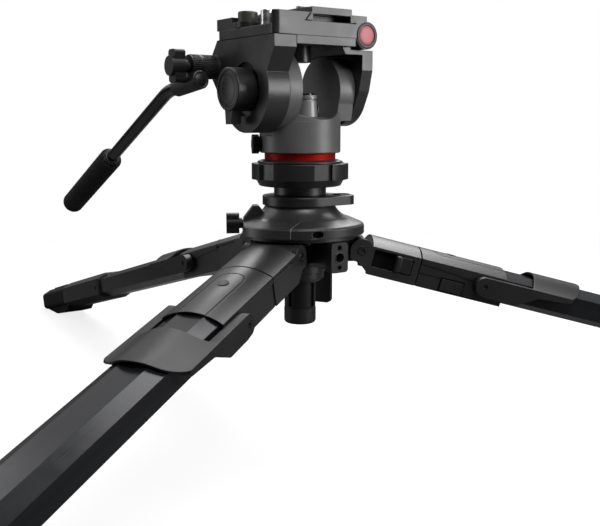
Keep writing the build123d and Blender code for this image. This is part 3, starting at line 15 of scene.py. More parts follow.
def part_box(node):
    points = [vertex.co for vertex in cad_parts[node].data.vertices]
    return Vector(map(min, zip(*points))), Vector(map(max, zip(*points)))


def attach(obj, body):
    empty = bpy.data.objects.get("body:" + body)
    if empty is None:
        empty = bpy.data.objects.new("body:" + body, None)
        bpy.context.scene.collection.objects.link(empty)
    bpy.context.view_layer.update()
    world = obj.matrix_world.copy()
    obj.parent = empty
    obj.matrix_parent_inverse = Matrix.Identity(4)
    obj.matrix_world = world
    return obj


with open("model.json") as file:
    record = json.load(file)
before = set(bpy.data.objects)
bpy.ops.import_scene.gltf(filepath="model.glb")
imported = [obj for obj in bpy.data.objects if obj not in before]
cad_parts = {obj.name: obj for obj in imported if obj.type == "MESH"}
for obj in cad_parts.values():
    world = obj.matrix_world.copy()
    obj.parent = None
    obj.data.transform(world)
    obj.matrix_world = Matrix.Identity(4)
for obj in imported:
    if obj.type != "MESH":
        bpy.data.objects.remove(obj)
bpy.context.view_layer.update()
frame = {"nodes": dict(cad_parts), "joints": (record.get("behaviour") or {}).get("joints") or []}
JOINTS = {joint["name"]: joint for joint in frame["joints"]}
LEGS = (1, 2, 3)
LOG = logging.getLogger("tripod")
MM = 0.001
FULL_TURN = 2 * math.pi
STRIP = 0.16
WHITE = (1.0, 1.0, 1.0, 1.0)
NUMBER = "NodeSocketFloat"
VECTOR = "NodeSocketVector"
BEVEL = {"offset_type": "OFFSET", "affect": "EDGES", "profile": 0.5, "material": -1}

Colour = tuple[float, float, float]
Triple = Sequence[float]
Point = tuple[float, float]
Net = bmesh.types.BMesh
Socket = bpy.types.NodeSocket
Tree = bpy.types.NodeTree
Material = bpy.types.Material
Inputs = dict[str | int, object]
Outputs = bpy.types.NodeOutputs


class Slot(Enum):
    """Names of the record's material slots."""

    PLASTIC = "satin_plastic"
    CASTING = "coated_casting"
    GRIP = "grip_rubber"
    FOOT = "foot_rubber"
    RED = "red_anodised"
    STEEL = "zinc_steel"


class Graph:
    """A shader node tree that is wired with short calls."""

    def __init__(self, tree: Tree) -> None:
        """Keep the tree.

        Args:
            tree: Node tree of a material, a world or a group.
        """
        self.tree = tree

    @classmethod
    def fresh(cls, owner: Material | bpy.types.World) -> "Graph":
        """Start an empty graph.

        Args:
            owner: Material or world whose nodes are cleared.

        Returns:
            Its graph.
        """
        owner.use_nodes = True
        owner.node_tree.nodes.clear()
        return cls(owner.node_tree)

    def node(self, kind: str, inputs: Inputs | None = None, **settings: object) -> Outputs:
        """Add a node.

        Args:
            kind: Blender's type name of the node.
            inputs: Sockets to link or plain values, by the name or the place of the input.
            **settings: Properties of the node itself.

        Returns:
            The new node's outputs.
        """
        made = self.tree.nodes.new(kind)
        for name, value in settings.items():
            setattr(made, name, value)
        for name, value in (inputs or {}).items():
            if isinstance(value, Socket):
                self.tree.links.new(value, made.inputs[name])
            else:
                made.inputs[name].default_value = value
        return made.outputs

    def math(self, operation: str, first: Socket, second: object) -> Socket:
        """Combine two values.

        Args:
            operation: Name of the math operation.
            first: Socket of the first value.
            second: Socket or plain number of the second value.

        Returns:
            Socket of the result.
        """
        return self.node("ShaderNodeMath", {0: first, 1: second}, operation=operation)[0]

    def remap(
        self, value: Socket, low: float, high: float, out_low: float = 0.0, out_high: float = 1.0
    ) -> Socket:
        """Stretch a value from one span to another, clamped.

        Args:
            value: Socket to read.
            low: Value that becomes out_low.
            high: Value that becomes out_high.
            out_low: Result at low.
            out_high: Result at high.

        Returns:
            Socket of the result.
        """
        spans = {"From Min": low, "From Max": high, "To Min": out_low, "To Max": out_high}
        return self.node("ShaderNodeMapRange", {"Value": value, **spans})["Result"]

    def blend(self, mask: Socket, first: Socket | Colour, second: Colour) -> Socket:
        """Mix two colours.

        Args:
            mask: Socket of the share of the second colour.
            first: Socket or plain colour.
            second: Plain colour.

        Returns:
            Socket of the mixed colour.
        """
        start = first if isinstance(first, Socket) else (*first, 1.0)
        colours = {0: mask, 6: start, 7: (*second, 1.0)}
        return self.node("ShaderNodeMix", colours, data_type="RGBA")[2]


class Effects:
    """Shader node groups that several finishes share."""

    def __init__(self) -> None:
        """Build every group once."""
        self.edges = self.soft_edges()
        self.grain = self.moulded_grain()
        self.marks = self.handling_marks()
        self.brush = self.brushed_lines()

    @staticmethod
    def group(name: str, inputs: dict[str, str], outputs: dict[str, str]) -> tuple[Graph, Outputs]:
        """Start an empty group.

        Args:
            name: Name of the group.
            inputs: Names of its inputs and their socket types.
            outputs: Names of its outputs and their socket types.

        Returns:
            The group's graph, and the sockets of its inputs.
        """
        tree = bpy.data.node_groups.new(name, "ShaderNodeTree")
        for way, sockets in (("INPUT", inputs), ("OUTPUT", outputs)):
            for socket, kind in sockets.items():
                tree.interface.new_socket(socket, in_out=way, socket_type=kind)
        graph = Graph(tree)
        return graph, graph.node("NodeGroupInput")

    def soft_edges(self) -> Tree:
        """Rounded normals along sharp edges, and a mask of those edges.

        Returns:
            The group.
        """
        outputs = {"Normal": VECTOR, "Edge": NUMBER}
        graph, given = self.group("soft_edges", {"Radius": NUMBER}, outputs)
        normal = graph.node("ShaderNodeBevel", {"Radius": given["Radius"]}, samples=6)["Normal"]
        flat = graph.node("ShaderNodeNewGeometry")["Normal"]
        facing = graph.node("ShaderNodeVectorMath", {0: normal, 1: flat}, operation="DOT_PRODUCT")
        edge = graph.remap(facing["Value"], 1.0, 0.8)
        graph.node("NodeGroupOutput", {"Normal": normal, "Edge": edge})
        return graph.tree

    def moulded_grain(self) -> Tree:
        """Spark-eroded grain of a moulding: a height, and a slow change of tone.

        Returns:
            The group.
        """
        outputs = {"Height": NUMBER, "Tone": NUMBER}
        graph, given = self.group("moulded_grain", {"Scale": NUMBER}, outputs)
        place = {"Vector": graph.node("ShaderNodeTexCoord")["Object"]}
        near = {**place, "Scale": given["Scale"]}
        fine = graph.node("ShaderNodeTexNoise", {**near, "Detail": 3.0, "Roughness": 0.6})[0]
        cells = graph.node("ShaderNodeTexVoronoi", near, feature="SMOOTH_F1")["Distance"]
        broad = {**place, "Scale": 21.0, "Detail": 4.0, "Roughness": 0.55}
        slow = graph.node("ShaderNodeTexNoise", broad)[0]
        height = graph.math("ADD", fine, cells)
        graph.node("NodeGroupOutput", {"Height": height, "Tone": graph.remap(slow, 0.3, 0.7)})
        return graph.tree

    def handling_marks(self) -> Tree:
        """Faint smears and fine scratches that handling leaves.

        Returns:
            The group.
        """
        outputs = {"Smear": NUMBER, "Scratch": NUMBER}
        graph, given = self.group("handling_marks", {"Scale": NUMBER}, outputs)
        place = {"Vector": graph.node("ShaderNodeTexCoord")["Object"]}
        cloud = {"Scale": given["Scale"], "Detail": 5.0, "Roughness": 0.6, "Distortion": 1.2}
        smear = graph.node("ShaderNodeTexNoise", {**place, **cloud})[0]
        slant = {"Rotation": (0.3, 0.5, 0.9), "Scale": (9.0, 260.0, 60.0)}
        line = graph.node("ShaderNodeMapping", {**place, **slant})["Vector"]
        streak = graph.node("ShaderNodeTexNoise", {"Vector": line, "Scale": 1.0, "Detail": 2.0})[0]
        smear, scratch = graph.remap(smear, 0.45, 0.75), graph.remap(streak, 0.68, 0.74)
        graph.node("NodeGroupOutput", {"Smear": smear, "Scratch": scratch})
        return graph.tree

    def brushed_lines(self) -> Tree:
        """Fine drawn lines along one axis: a height and a tone.

        Returns:
            The group.
        """
        outputs = {"Height": NUMBER, "Tone": NUMBER}
        graph, given = self.group("brushed_lines", {"Vector": VECTOR}, outputs)
        line = {"Vector": given["Vector"]}
        close = {**line, "Scale": 1.0, "Detail": 3.0, "Roughness": 0.7}
        fine = graph.node("ShaderNodeTexNoise", close)[0]
        broad = graph.node("ShaderNodeTexNoise", {**line, "Scale": 0.12, "Detail": 2.0})[0]
        tone = graph.remap(graph.math("ADD", fine, broad), 0.7, 1.3)
        graph.node("NodeGroupOutput", {"Height": fine, "Tone": tone})
        return graph.tree


@dataclass(frozen=True)
class Finish:
    """A dark coat or moulding with grain, soft edges, and edge colour lightened for slight wear and a
    painted edge highlight.
    """

    name: str
    colour: Colour
    roughness: float
    metallic: float = 0.0
    specular: float = 0.3
    grain_scale: float = 1400.0
    grain_depth: float = 0.06
    grain_height: float = 0.3
    tone_spread: float = 0.25
    rough_spread: float = 0.03
    edge_radius: float = 0.6
    edge_lift: float = 0.35
    edge_grey: float = 0.02
    mark_scale: float = 34.0
    smear: float = 0.08
    scratch: float = 0.06

    def surface(self, graph: Graph, effects: Effects) -> Outputs:
        """Make the height and the slow tone of the bare surface.

        Args:
            graph: Graph of the material.
            effects: Shared groups.

        Returns:
            Sockets named Height and Tone.
        """
        return graph.node("ShaderNodeGroup", {"Scale": self.grain_scale}, node_tree=effects.grain)

    def looks(self, graph: Graph, effects: Effects) -> Inputs:
        """Make the colour, the roughness and the normal.

        Args:
            graph: Graph of the material.
            effects: Shared groups.

        Returns:
            What goes into the shader, by the name of the input.
        """
        radius = {"Radius": self.edge_radius * MM}
        edges = graph.node("ShaderNodeGroup", radius, node_tree=effects.edges)
        marks = graph.node("ShaderNodeGroup", {"Scale": self.mark_scale}, node_tree=effects.marks)
        bare = self.surface(graph, effects)
        dark = tuple(channel * (1 - self.tone_spread) for channel in self.colour)
        light = tuple(channel * (1 + self.tone_spread) for channel in self.colour)
        # Edge colour is lightened by edge_lift: partly real wear, partly a painted edge highlight.
        grey = self.edge_grey * self.edge_lift
        wear_and_painted_edge_highlight = tuple(channel * (1 + self.edge_lift) + grey for channel in self.colour)
        colour = graph.blend(edges["Edge"], graph.blend(bare["Tone"], dark, light), wear_and_painted_edge_highlight)
        smooth, coarse = self.roughness - self.rough_spread, self.roughness + self.rough_spread
        rough = graph.remap(bare["Tone"], 0.0, 1.0, smooth, coarse)
        rough = graph.math("SUBTRACT", rough, graph.math("MULTIPLY", marks["Smear"], self.smear))
        rough = graph.math("ADD", rough, graph.math("MULTIPLY", marks["Scratch"], self.scratch))
        relief = {"Strength": self.grain_depth, "Distance": self.grain_height * MM}
        relief |= {"Height": bare["Height"], "Normal": edges["Normal"]}
        normal = graph.node("ShaderNodeBump", relief)["Normal"]
        return {"Base Color": colour, "Roughness": rough, "Normal": normal}

    def build(self, effects: Effects) -> Material:
        """Make the material.

        Args:
            effects: Shared groups.

        Returns:
            The finished material.
        """
        material = bpy.data.materials.new(self.name)
        graph = Graph.fresh(material)
        values = {"Specular IOR Level": self.specular, "Metallic": self.metallic}
        values |= self.looks(graph, effects)
        shader = graph.node("ShaderNodeBsdfPrincipled", values)[0]
        graph.node("ShaderNodeOutputMaterial", {"Surface": shader})
        return material


@dataclass(frozen=True)
class DrawnFinish(Finish):
    """An anodised tube with fine lines drawn along its length."""

    direction: Triple = (0.0, 0.0, 1.0)
    along: float = 9.0
    across: float = 1500.0

    def surface(self, graph: Graph, effects: Effects) -> Outputs:
        """Make the height and tone of lines along the tube.

        Args:
            graph: Graph of the material.
            effects: Shared groups.

        Returns:
            Sockets named Height and Tone.
        """
        place = graph.node("ShaderNodeTexCoord")["Object"]
        turn = Vector(self.direction).rotation_difference(Vector((1, 0, 0))).to_euler()
        line = graph.node("ShaderNodeMapping", {"Vector": place, "Rotation": turn})["Vector"]
        scale = (self.along, self.across, self.across)
        line = graph.node("ShaderNodeMapping", {"Vector": line, "Scale": scale})["Vector"]
        return graph.node("ShaderNodeGroup", {"Vector": line}, node_tree=effects.brush)


@dataclass(frozen=True)
class GlassFinish(Finish):
    """Clear tinted glass of a level vial."""

    transmission: float = 0.85
    index: float = 1.45
    lift: float = 1.1
    haze: float = 0.04

    def looks(self, graph: Graph, effects: Effects) -> Inputs:
        """Make the tint and the haze.

        Args:
            graph: Graph of the material.
            effects: Shared groups.

        Returns:
            What goes into the shader, by the name of the input.
        """
        tone = self.surface(graph, effects)["Tone"]
        light = tuple(min(1.0, channel * self.lift) for channel in self.colour)
        return {
            "Base Color": graph.blend(tone, self.colour, light),
            "Roughness": graph.remap(tone, 0.0, 1.0, self.roughness, self.roughness + self.haze),
            "Transmission Weight": self.transmission,
            "IOR": self.index,
        }


class Palette:
    """Every finish of the object, made once."""

    def __init__(self) -> None:
        """Build the shared groups and the materials."""
        effects = Effects()

        def coat(*given: object, kind: type[Finish] = Finish, **settings: object) -> Material:
            """Make one material from a finish's values."""
            return kind(*given, **settings).build(effects)

        clean = {"smear": 0.04, "scratch": 0.02}
        sprayed = {"grain_scale": 900.0, "grain_depth": 0.08}
        self.plastic = coat("black_moulding", (0.011, 0.011, 0.0115), 0.38, specular=0.42, **clean)
        self.casting = coat(
            "powder_coat", (0.014, 0.014, 0.0145), 0.38, specular=0.46, **sprayed, **clean
        )
        self.head = coat(
            "graphite_coat", (0.026, 0.026, 0.027), 0.33, metallic=0.2, specular=0.5, **sprayed
        )
        self.drum = coat("drum_coat", (0.1, 0.1, 0.102), 0.42, metallic=0.2, specular=0.4, **sprayed)
        self.cover = coat(
            "crown_moulding", (0.027, 0.027, 0.0275), 0.36, specular=0.5, grain_depth=0.05
        )
        # A strong edge_lift paints a light highlight along the panel's edges.
        self.panel = coat(
            "panel_moulding", (0.016, 0.016, 0.0165), 0.4, specular=0.4, edge_radius=0.9, edge_lift=2.6
        )
        self.lever = coat(
            "lever_moulding", (0.011, 0.011, 0.0115), 0.4, specular=0.24, smear=0.02, scratch=0.01
        )
        self.knob = coat("soft_knob", (0.009, 0.009, 0.009), 0.5, specular=0.3, grain_scale=1800.0)
        # Near-black finish for strips and linings laid where gaps, grooves and recesses sit in shade:
        # painted shade.
        self.gap = coat("dark_gap", (0.002, 0.002, 0.002), 0.8, specular=0.1, edge_lift=0.0)
        self.rod = coat(
            "gloss_black", (0.003, 0.003, 0.0035), 0.17, specular=0.5, grain_depth=0.005, edge_lift=0.1
        )
        self.foam = coat(
            "foam_grip", (0.013, 0.013, 0.0135), 0.9, specular=0.15, grain_scale=620.0,
            grain_depth=0.7, edge_radius=1.2, edge_lift=0.0
        )
        self.rubber = coat(
            "moulded_rubber", (0.007, 0.007, 0.007), 0.72, specular=0.14, grain_scale=700.0,
            grain_depth=0.2
        )
        self.red = coat(
            "red_coat", (0.27, 0.006, 0.003), 0.46, metallic=0.25, specular=0.06,
            grain_depth=0.02, edge_lift=0.15
        )
        self.badge = coat(
            "red_cap", (0.48, 0.13, 0.15), 0.4, specular=0.4, grain_depth=0.01, edge_lift=0.1
        )
        self.post = coat(
            "grey_post", (0.2, 0.2, 0.203), 0.4, metallic=0.4, specular=0.5, grain_depth=0.03
        )
        self.olive = coat(
            "grey_green_coat", (0.06, 0.062, 0.048), 0.42, metallic=0.3, grain_depth=0.03
        )
        self.bright = coat(
            "polished_pin", (0.82, 0.815, 0.8), 0.34, kind=DrawnFinish, metallic=1.0,
            grain_depth=0.02, along=2200.0, across=30.0
        )
        self.steel = coat(
            "turned_steel", (0.36, 0.36, 0.37), 0.35, kind=DrawnFinish, metallic=1.0,
            grain_depth=0.05, along=1800.0, across=40.0
        )
        self.blackened = coat(
            "blackened_steel", (0.03, 0.03, 0.032), 0.36, metallic=0.8, grain_depth=0.03, edge_lift=0.8
        )
        self.column = coat(
            "dark_column", (0.008, 0.008, 0.009), 0.4, kind=DrawnFinish, specular=0.2, grain_depth=0.05
        )
        self.tubes = [
            coat(
                f"dark_tube_{number}", (0.009, 0.0095, 0.0115), 0.23, kind=DrawnFinish,
                metallic=0.1, specular=0.24, grain_depth=0.05,
                direction=tuple(JOINTS[f"leg_{number}_middle_slide"]["axis"])
            )
            for number in LEGS
        ]
        self.smoked = coat("smoked_glass", (0.07, 0.08, 0.045), 0.06, kind=GlassFinish)
        self.glass = coat("vial_glass", (0.72, 0.82, 0.38), 0.03, kind=GlassFinish, specular=0.5)


def dress(nodes: Iterable[str], material: Material) -> None:
    """Give nodes of the frame a material.

    Args:
        nodes: Names of the nodes.
        material: Their finish.
    """
    for name in nodes:
        mesh = frame["nodes"][name].data
        mesh.materials.clear()
        mesh.materials.append(material)


def add_object(name: str, data: bpy.types.ID) -> bpy.types.Object:
    """Put data into the scene as an object.

    Args:
        name: Name of the object.
        data: Its mesh, lamp or camera.

    Returns:
        The object.
    """
    made = bpy.data.objects.new(name, data)
    bpy.context.scene.collection.objects.link(made)
    return made


def as_mesh(name: str, net: Net) -> bpy.types.Mesh:
    """Turn a shape into a mesh.

    Args:
        name: Name of the mesh.
        net: The shape; it is freed.

    Returns:
        The mesh.
    """
    mesh = bpy.data.meshes.new(name)
    net.to_mesh(mesh)
    net.free()
    return mesh


class Studio:
    """Pale floor, soft lamps, a bright sweep behind the object and the camera."""

    eye = (-426.5, -604.7, 271.47)
    gaze = (0.5685, 0.8060, -0.1649)
    lens = 52.04
    sensor = 36.0
    near_clip = 0.01
    sweep = (0.45, 0.70, 0.55)
    sweep_level = 1.0
    sweep_lobe = (0.35, 0.95)
    sweep_climb = (0.1, 0.5)
    sweep_foot = 0.15
    room_level = 0.03
    floor_size = 60.0
    floor_seen = 0.92
    floor_bounce = 0.13
    floor_white = 0.8
    floor_reach = (500.0, 1500.0)

    def build(self) -> None:
        """Set up everything that isn't the object."""
        self.camera()
        self.surroundings()
        self.floor()
        self.lamp("side_box", (800, -1150, 430), (0, 0, 300), 650, 11)
        self.lamp("top_back", (620, 640, 1050), (0, 0, 180), 900, 11.5)
        self.lamp("top_right", (450, 150, 1040), (-150, -90, 120), 600, 8)
        self.lamp("front_top", (-150, -850, 1250), (0, 0, 230), 700, 12)
        self.lamp("back_left", (-650, 1050, 1050), (-100, 0, 180), 800, 4)
        self.lamp("left_low", (-950, 700, 240), (0, 60, 170), 500, 1.9)

    def camera(self) -> None:
        """Place the camera at the viewing angle of the picture."""
        data = bpy.data.cameras.new("camera")
        data.lens = self.lens
        data.sensor_width = self.sensor
        data.clip_start = self.near_clip
        camera = add_object("camera", data)
        camera.location = Vector(self.eye) * MM
        camera.rotation_euler = Vector(self.gaze).to_track_quat("-Z", "Y").to_euler()
        bpy.context.scene.camera = camera
        bpy.context.scene.view_settings.view_transform = "Standard"

    def surroundings(self) -> None:
        """White to look at, and for the object a bright sweep behind it in a dim room."""
        world = bpy.data.worlds.new("surroundings")
        bpy.context.scene.world = world
        graph = Graph.fresh(world)
        way = graph.node("ShaderNodeTexCoord")["Generated"]
        sweep = {0: way, 1: Vector(self.sweep).normalized()}
        toward = graph.node("ShaderNodeVectorMath", sweep, operation="DOT_PRODUCT")["Value"]
        rise = graph.node("ShaderNodeSeparateXYZ", {0: way})["Z"]
        climb = graph.remap(rise, *self.sweep_climb, self.sweep_foot)
        lobe = graph.remap(toward, *self.sweep_lobe, 0.0, self.sweep_level)
        lit = graph.math("MAXIMUM", graph.math("MULTIPLY", lobe, climb), self.room_level)
        seen = graph.node("ShaderNodeLightPath")["Is Camera Ray"]
        level = graph.math("MAXIMUM", lit, seen)
        sky = graph.node("ShaderNodeBackground", {"Color": WHITE, "Strength": level})[0]
        graph.node("ShaderNodeOutputWorld", {"Surface": sky})

    def floor(self) -> None:
        """Plain pale floor that keeps the object's shadow and runs into white far away."""
        net = bmesh.new()
        bmesh.ops.create_grid(net, x_segments=1, y_segments=1, size=self.floor_size)
        floor = add_object("floor", as_mesh("floor", net))
        material = bpy.data.materials.new("pale_floor")
        graph = Graph.fresh(material)
        seen = graph.node("ShaderNodeLightPath")["Is Camera Ray"]
        place = graph.node("ShaderNodeTexCoord")["Object"]
        reach = graph.node("ShaderNodeVectorMath", {0: place}, operation="LENGTH")["Value"]
        near, far = (limit * MM for limit in self.floor_reach)
        share = graph.math("MULTIPLY", graph.remap(reach, near, far, self.floor_white), seen)
        tone = graph.blend(seen, (self.floor_bounce,) * 3, (self.floor_seen,) * 3)
        matt = graph.node("ShaderNodeBsdfDiffuse", {"Color": tone})[0]
        white = graph.node("ShaderNodeEmission", {"Color": WHITE})[0]
        mixed = graph.node("ShaderNodeMixShader", {0: share, 1: matt, 2: white})[0]
        graph.node("ShaderNodeOutputMaterial", {"Surface": mixed})
        floor.data.materials.append(material)

    @staticmethod
    def lamp(name: str, place: Triple, aim: Triple, size: float, watts: float) -> None:
        """Hang one square soft lamp.

        Args:
            name: Name of the lamp.
            place: Its middle, in mm.
            aim: Point that it faces, in mm.
            size: Its side, in mm.
            watts: Its power.
        """
        data = bpy.data.lights.new(name, "AREA")
        data.size = size * MM
        data.energy = watts
        lamp = add_object(name, data)
        lamp.location = Vector(place) * MM
        toward = Vector(aim) - Vector(place)
        lamp.rotation_euler = toward.to_track_quat("-Z", "Y").to_euler()


def moved(to: Triple) -> Matrix:
    """Place that moves the origin to a point.

    Args:
        to: The point, in mm.

    Returns:
        The matrix of the move.
    """
    return Matrix.Translation(Vector(to) * MM)


def facing(axis: Triple, to: Triple) -> Matrix:
    """Place that turns +Z to an axis and moves the origin to a point.

    Args:
        axis: Direction that +Z takes.
        to: The point, in mm.

    Returns:
        The matrix of the move.
    """
    return moved(to) @ Vector(axis).to_track_quat("Z", "Y").to_matrix().to_4x4()


def spun(
    outline: Sequence[Point], steps: int = 64, closed: bool = False, turn: float = FULL_TURN
) -> Net:
    """Turn an outline round the Z axis, and cap the ends of a loop that goes part of the way.

    Args:
        outline: Pairs of radius and height, in mm.
        steps: Number of steps of the turn.
        closed: True where the outline is a loop.
        turn: Angle of the turn.

    Returns:
        The turned shape.
    """
    net = bmesh.new()
    corners = [net.verts.new((radius * MM, 0.0, height * MM)) for radius, height in outline]
    runs = list(zip(corners, corners[1:]))
    if closed:
        runs.append((corners[-1], corners[0]))
    edges = [net.edges.new(pair) for pair in runs]
    whole = turn >= FULL_TURN
    bmesh.ops.spin(
        net, geom=corners + edges, cent=(0, 0, 0), axis=(0, 0, 1), angle=turn, steps=steps,
        use_merge=whole
    )
    bmesh.ops.remove_doubles(net, verts=net.verts, dist=1e-7)
    if closed and not whole:
        rims = [edge for edge in net.edges if edge.is_boundary]
        bmesh.ops.holes_fill(net, edges=rims, sides=0)
    bmesh.ops.recalc_face_normals(net, faces=net.faces)
    return net


def block(size: Triple, middle: Triple, radius: float = 0.05, segments: int = 1) -> Net:
    """Make a block with rounded edges, or a thin strip that reads as a line.

    Args:
        size: Its three sides, in mm.
        middle: Its middle, in mm.
        radius: Radius of its edges, in mm.
        segments: Steps across each rounded edge.

    Returns:
        The block.
    """
    net = bmesh.new()
    bmesh.ops.create_cube(net, size=1.0)
    bmesh.ops.scale(net, vec=Vector(size) * MM, verts=net.verts)
    bmesh.ops.bevel(net, geom=net.edges, offset=radius * MM, segments=segments, **BEVEL)
    bmesh.ops.translate(net, vec=Vector(middle) * MM, verts=net.verts)
    return net


def turned(net: Net, angle: float) -> Net:
    """Turn a shape round the Z axis.

    Args:
        net: The shape.
        angle: Angle of the turn.

    Returns:
        The same shape, turned.
    """
    turn = Matrix.Rotation(angle, 3, "Z")
    bmesh.ops.rotate(net, cent=(0, 0, 0), matrix=turn, verts=net.verts)
    return net


def join(nets: Iterable[Net]) -> Net:
    """Put several shapes into one and free them.

    Args:
        nets: The shapes.

    Returns:
        One shape that holds them all.
    """
    whole = bmesh.new()
    for net in nets:
        carrier = as_mesh("carrier", net)
        whole.from_mesh(carrier)
        bpy.data.meshes.remove(carrier)
    return whole


def hex_head(radius: float, height: float, key: float, depth: float) -> Net:
    """Make a round screw head with a six-sided key hole in its top.

    Args:
        radius: Radius of the head, in mm.
        height: Height of the head above its seat, in mm.
        key: Radius of the key hole's corners, in mm.
        depth: Depth of the key hole, in mm.

    Returns:
        The head, standing on the XY plane.
    """
    net = bmesh.new()
    bmesh.ops.create_circle(net, cap_ends=True, segments=36, radius=radius * MM)
    side = bmesh.ops.extrude_face_region(net, geom=net.faces[:])
    top = [part for part in side["geom"] if isinstance(part, bmesh.types.BMVert)]
    bmesh.ops.translate(net, vec=(0, 0, height * MM), verts=top)
    rim = [edge for edge in net.edges if all(vert in top for vert in edge.verts)]
    bmesh.ops.bevel(net, geom=rim, offset=0.25 * height * MM, segments=3, **BEVEL)
    bmesh.ops.recalc_face_normals(net, faces=net.faces)
    hole = bmesh.new()
    bmesh.ops.create_cone(
        hole, cap_ends=True, segments=6, radius1=key * MM, radius2=key * MM, depth=2 * depth * MM
    )
    bmesh.ops.translate(hole, vec=(0, 0, height * MM), verts=hole.verts)
    return carve(net, hole)


def carve(solid: Net, tool: Net) -> Net:
    """Cut one closed shape out of another.

    Args:
        solid: The shape that stays; it is freed.
        tool: The shape that is cut away; it is freed.

    Returns:
        What is left.
    """
    made = [
        add_object(label, as_mesh(label, net)) for label, net in (("solid", solid), ("tool", tool))
    ]
    cut = made[0].modifiers.new("cut", "BOOLEAN")
    cut.operation = "DIFFERENCE"
    cut.solver = "EXACT"
    cut.object = made[1]
    graph = bpy.context.evaluated_depsgraph_get()
    result = bmesh.new()
    result.from_mesh(made[0].evaluated_get(graph).to_mesh())
    for thing in made:
        mesh = thing.data
        bpy.data.objects.remove(thing)
        bpy.data.meshes.remove(mesh)
    return result


def finish_piece(
    name: str, net: Net, place: Matrix, material: Material, body: str,
    crease: float = 35.0
) -> None:
    """Turn a shape into a piece that rides on a body.

    Args:
        name: Name of the piece.
        net: Its shape; it is freed.
        place: Move from where it was drawn to its place.
        material: Its finish.
        body: Body that it moves with.
        crease: Edges sharper than this angle, in degrees, stay sharp.
    """
    bmesh.ops.transform(net, matrix=place, verts=net.verts)
    mesh = as_mesh(name, net)
    mesh.polygons.foreach_set("use_smooth", [True] * len(mesh.polygons))
    mesh.set_sharp_from_angle(angle=math.radians(crease))
    mesh.materials.append(material)
    made = add_object(name, mesh)
    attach(made, body)
    LOG.info("%s rides on %s", name, body)


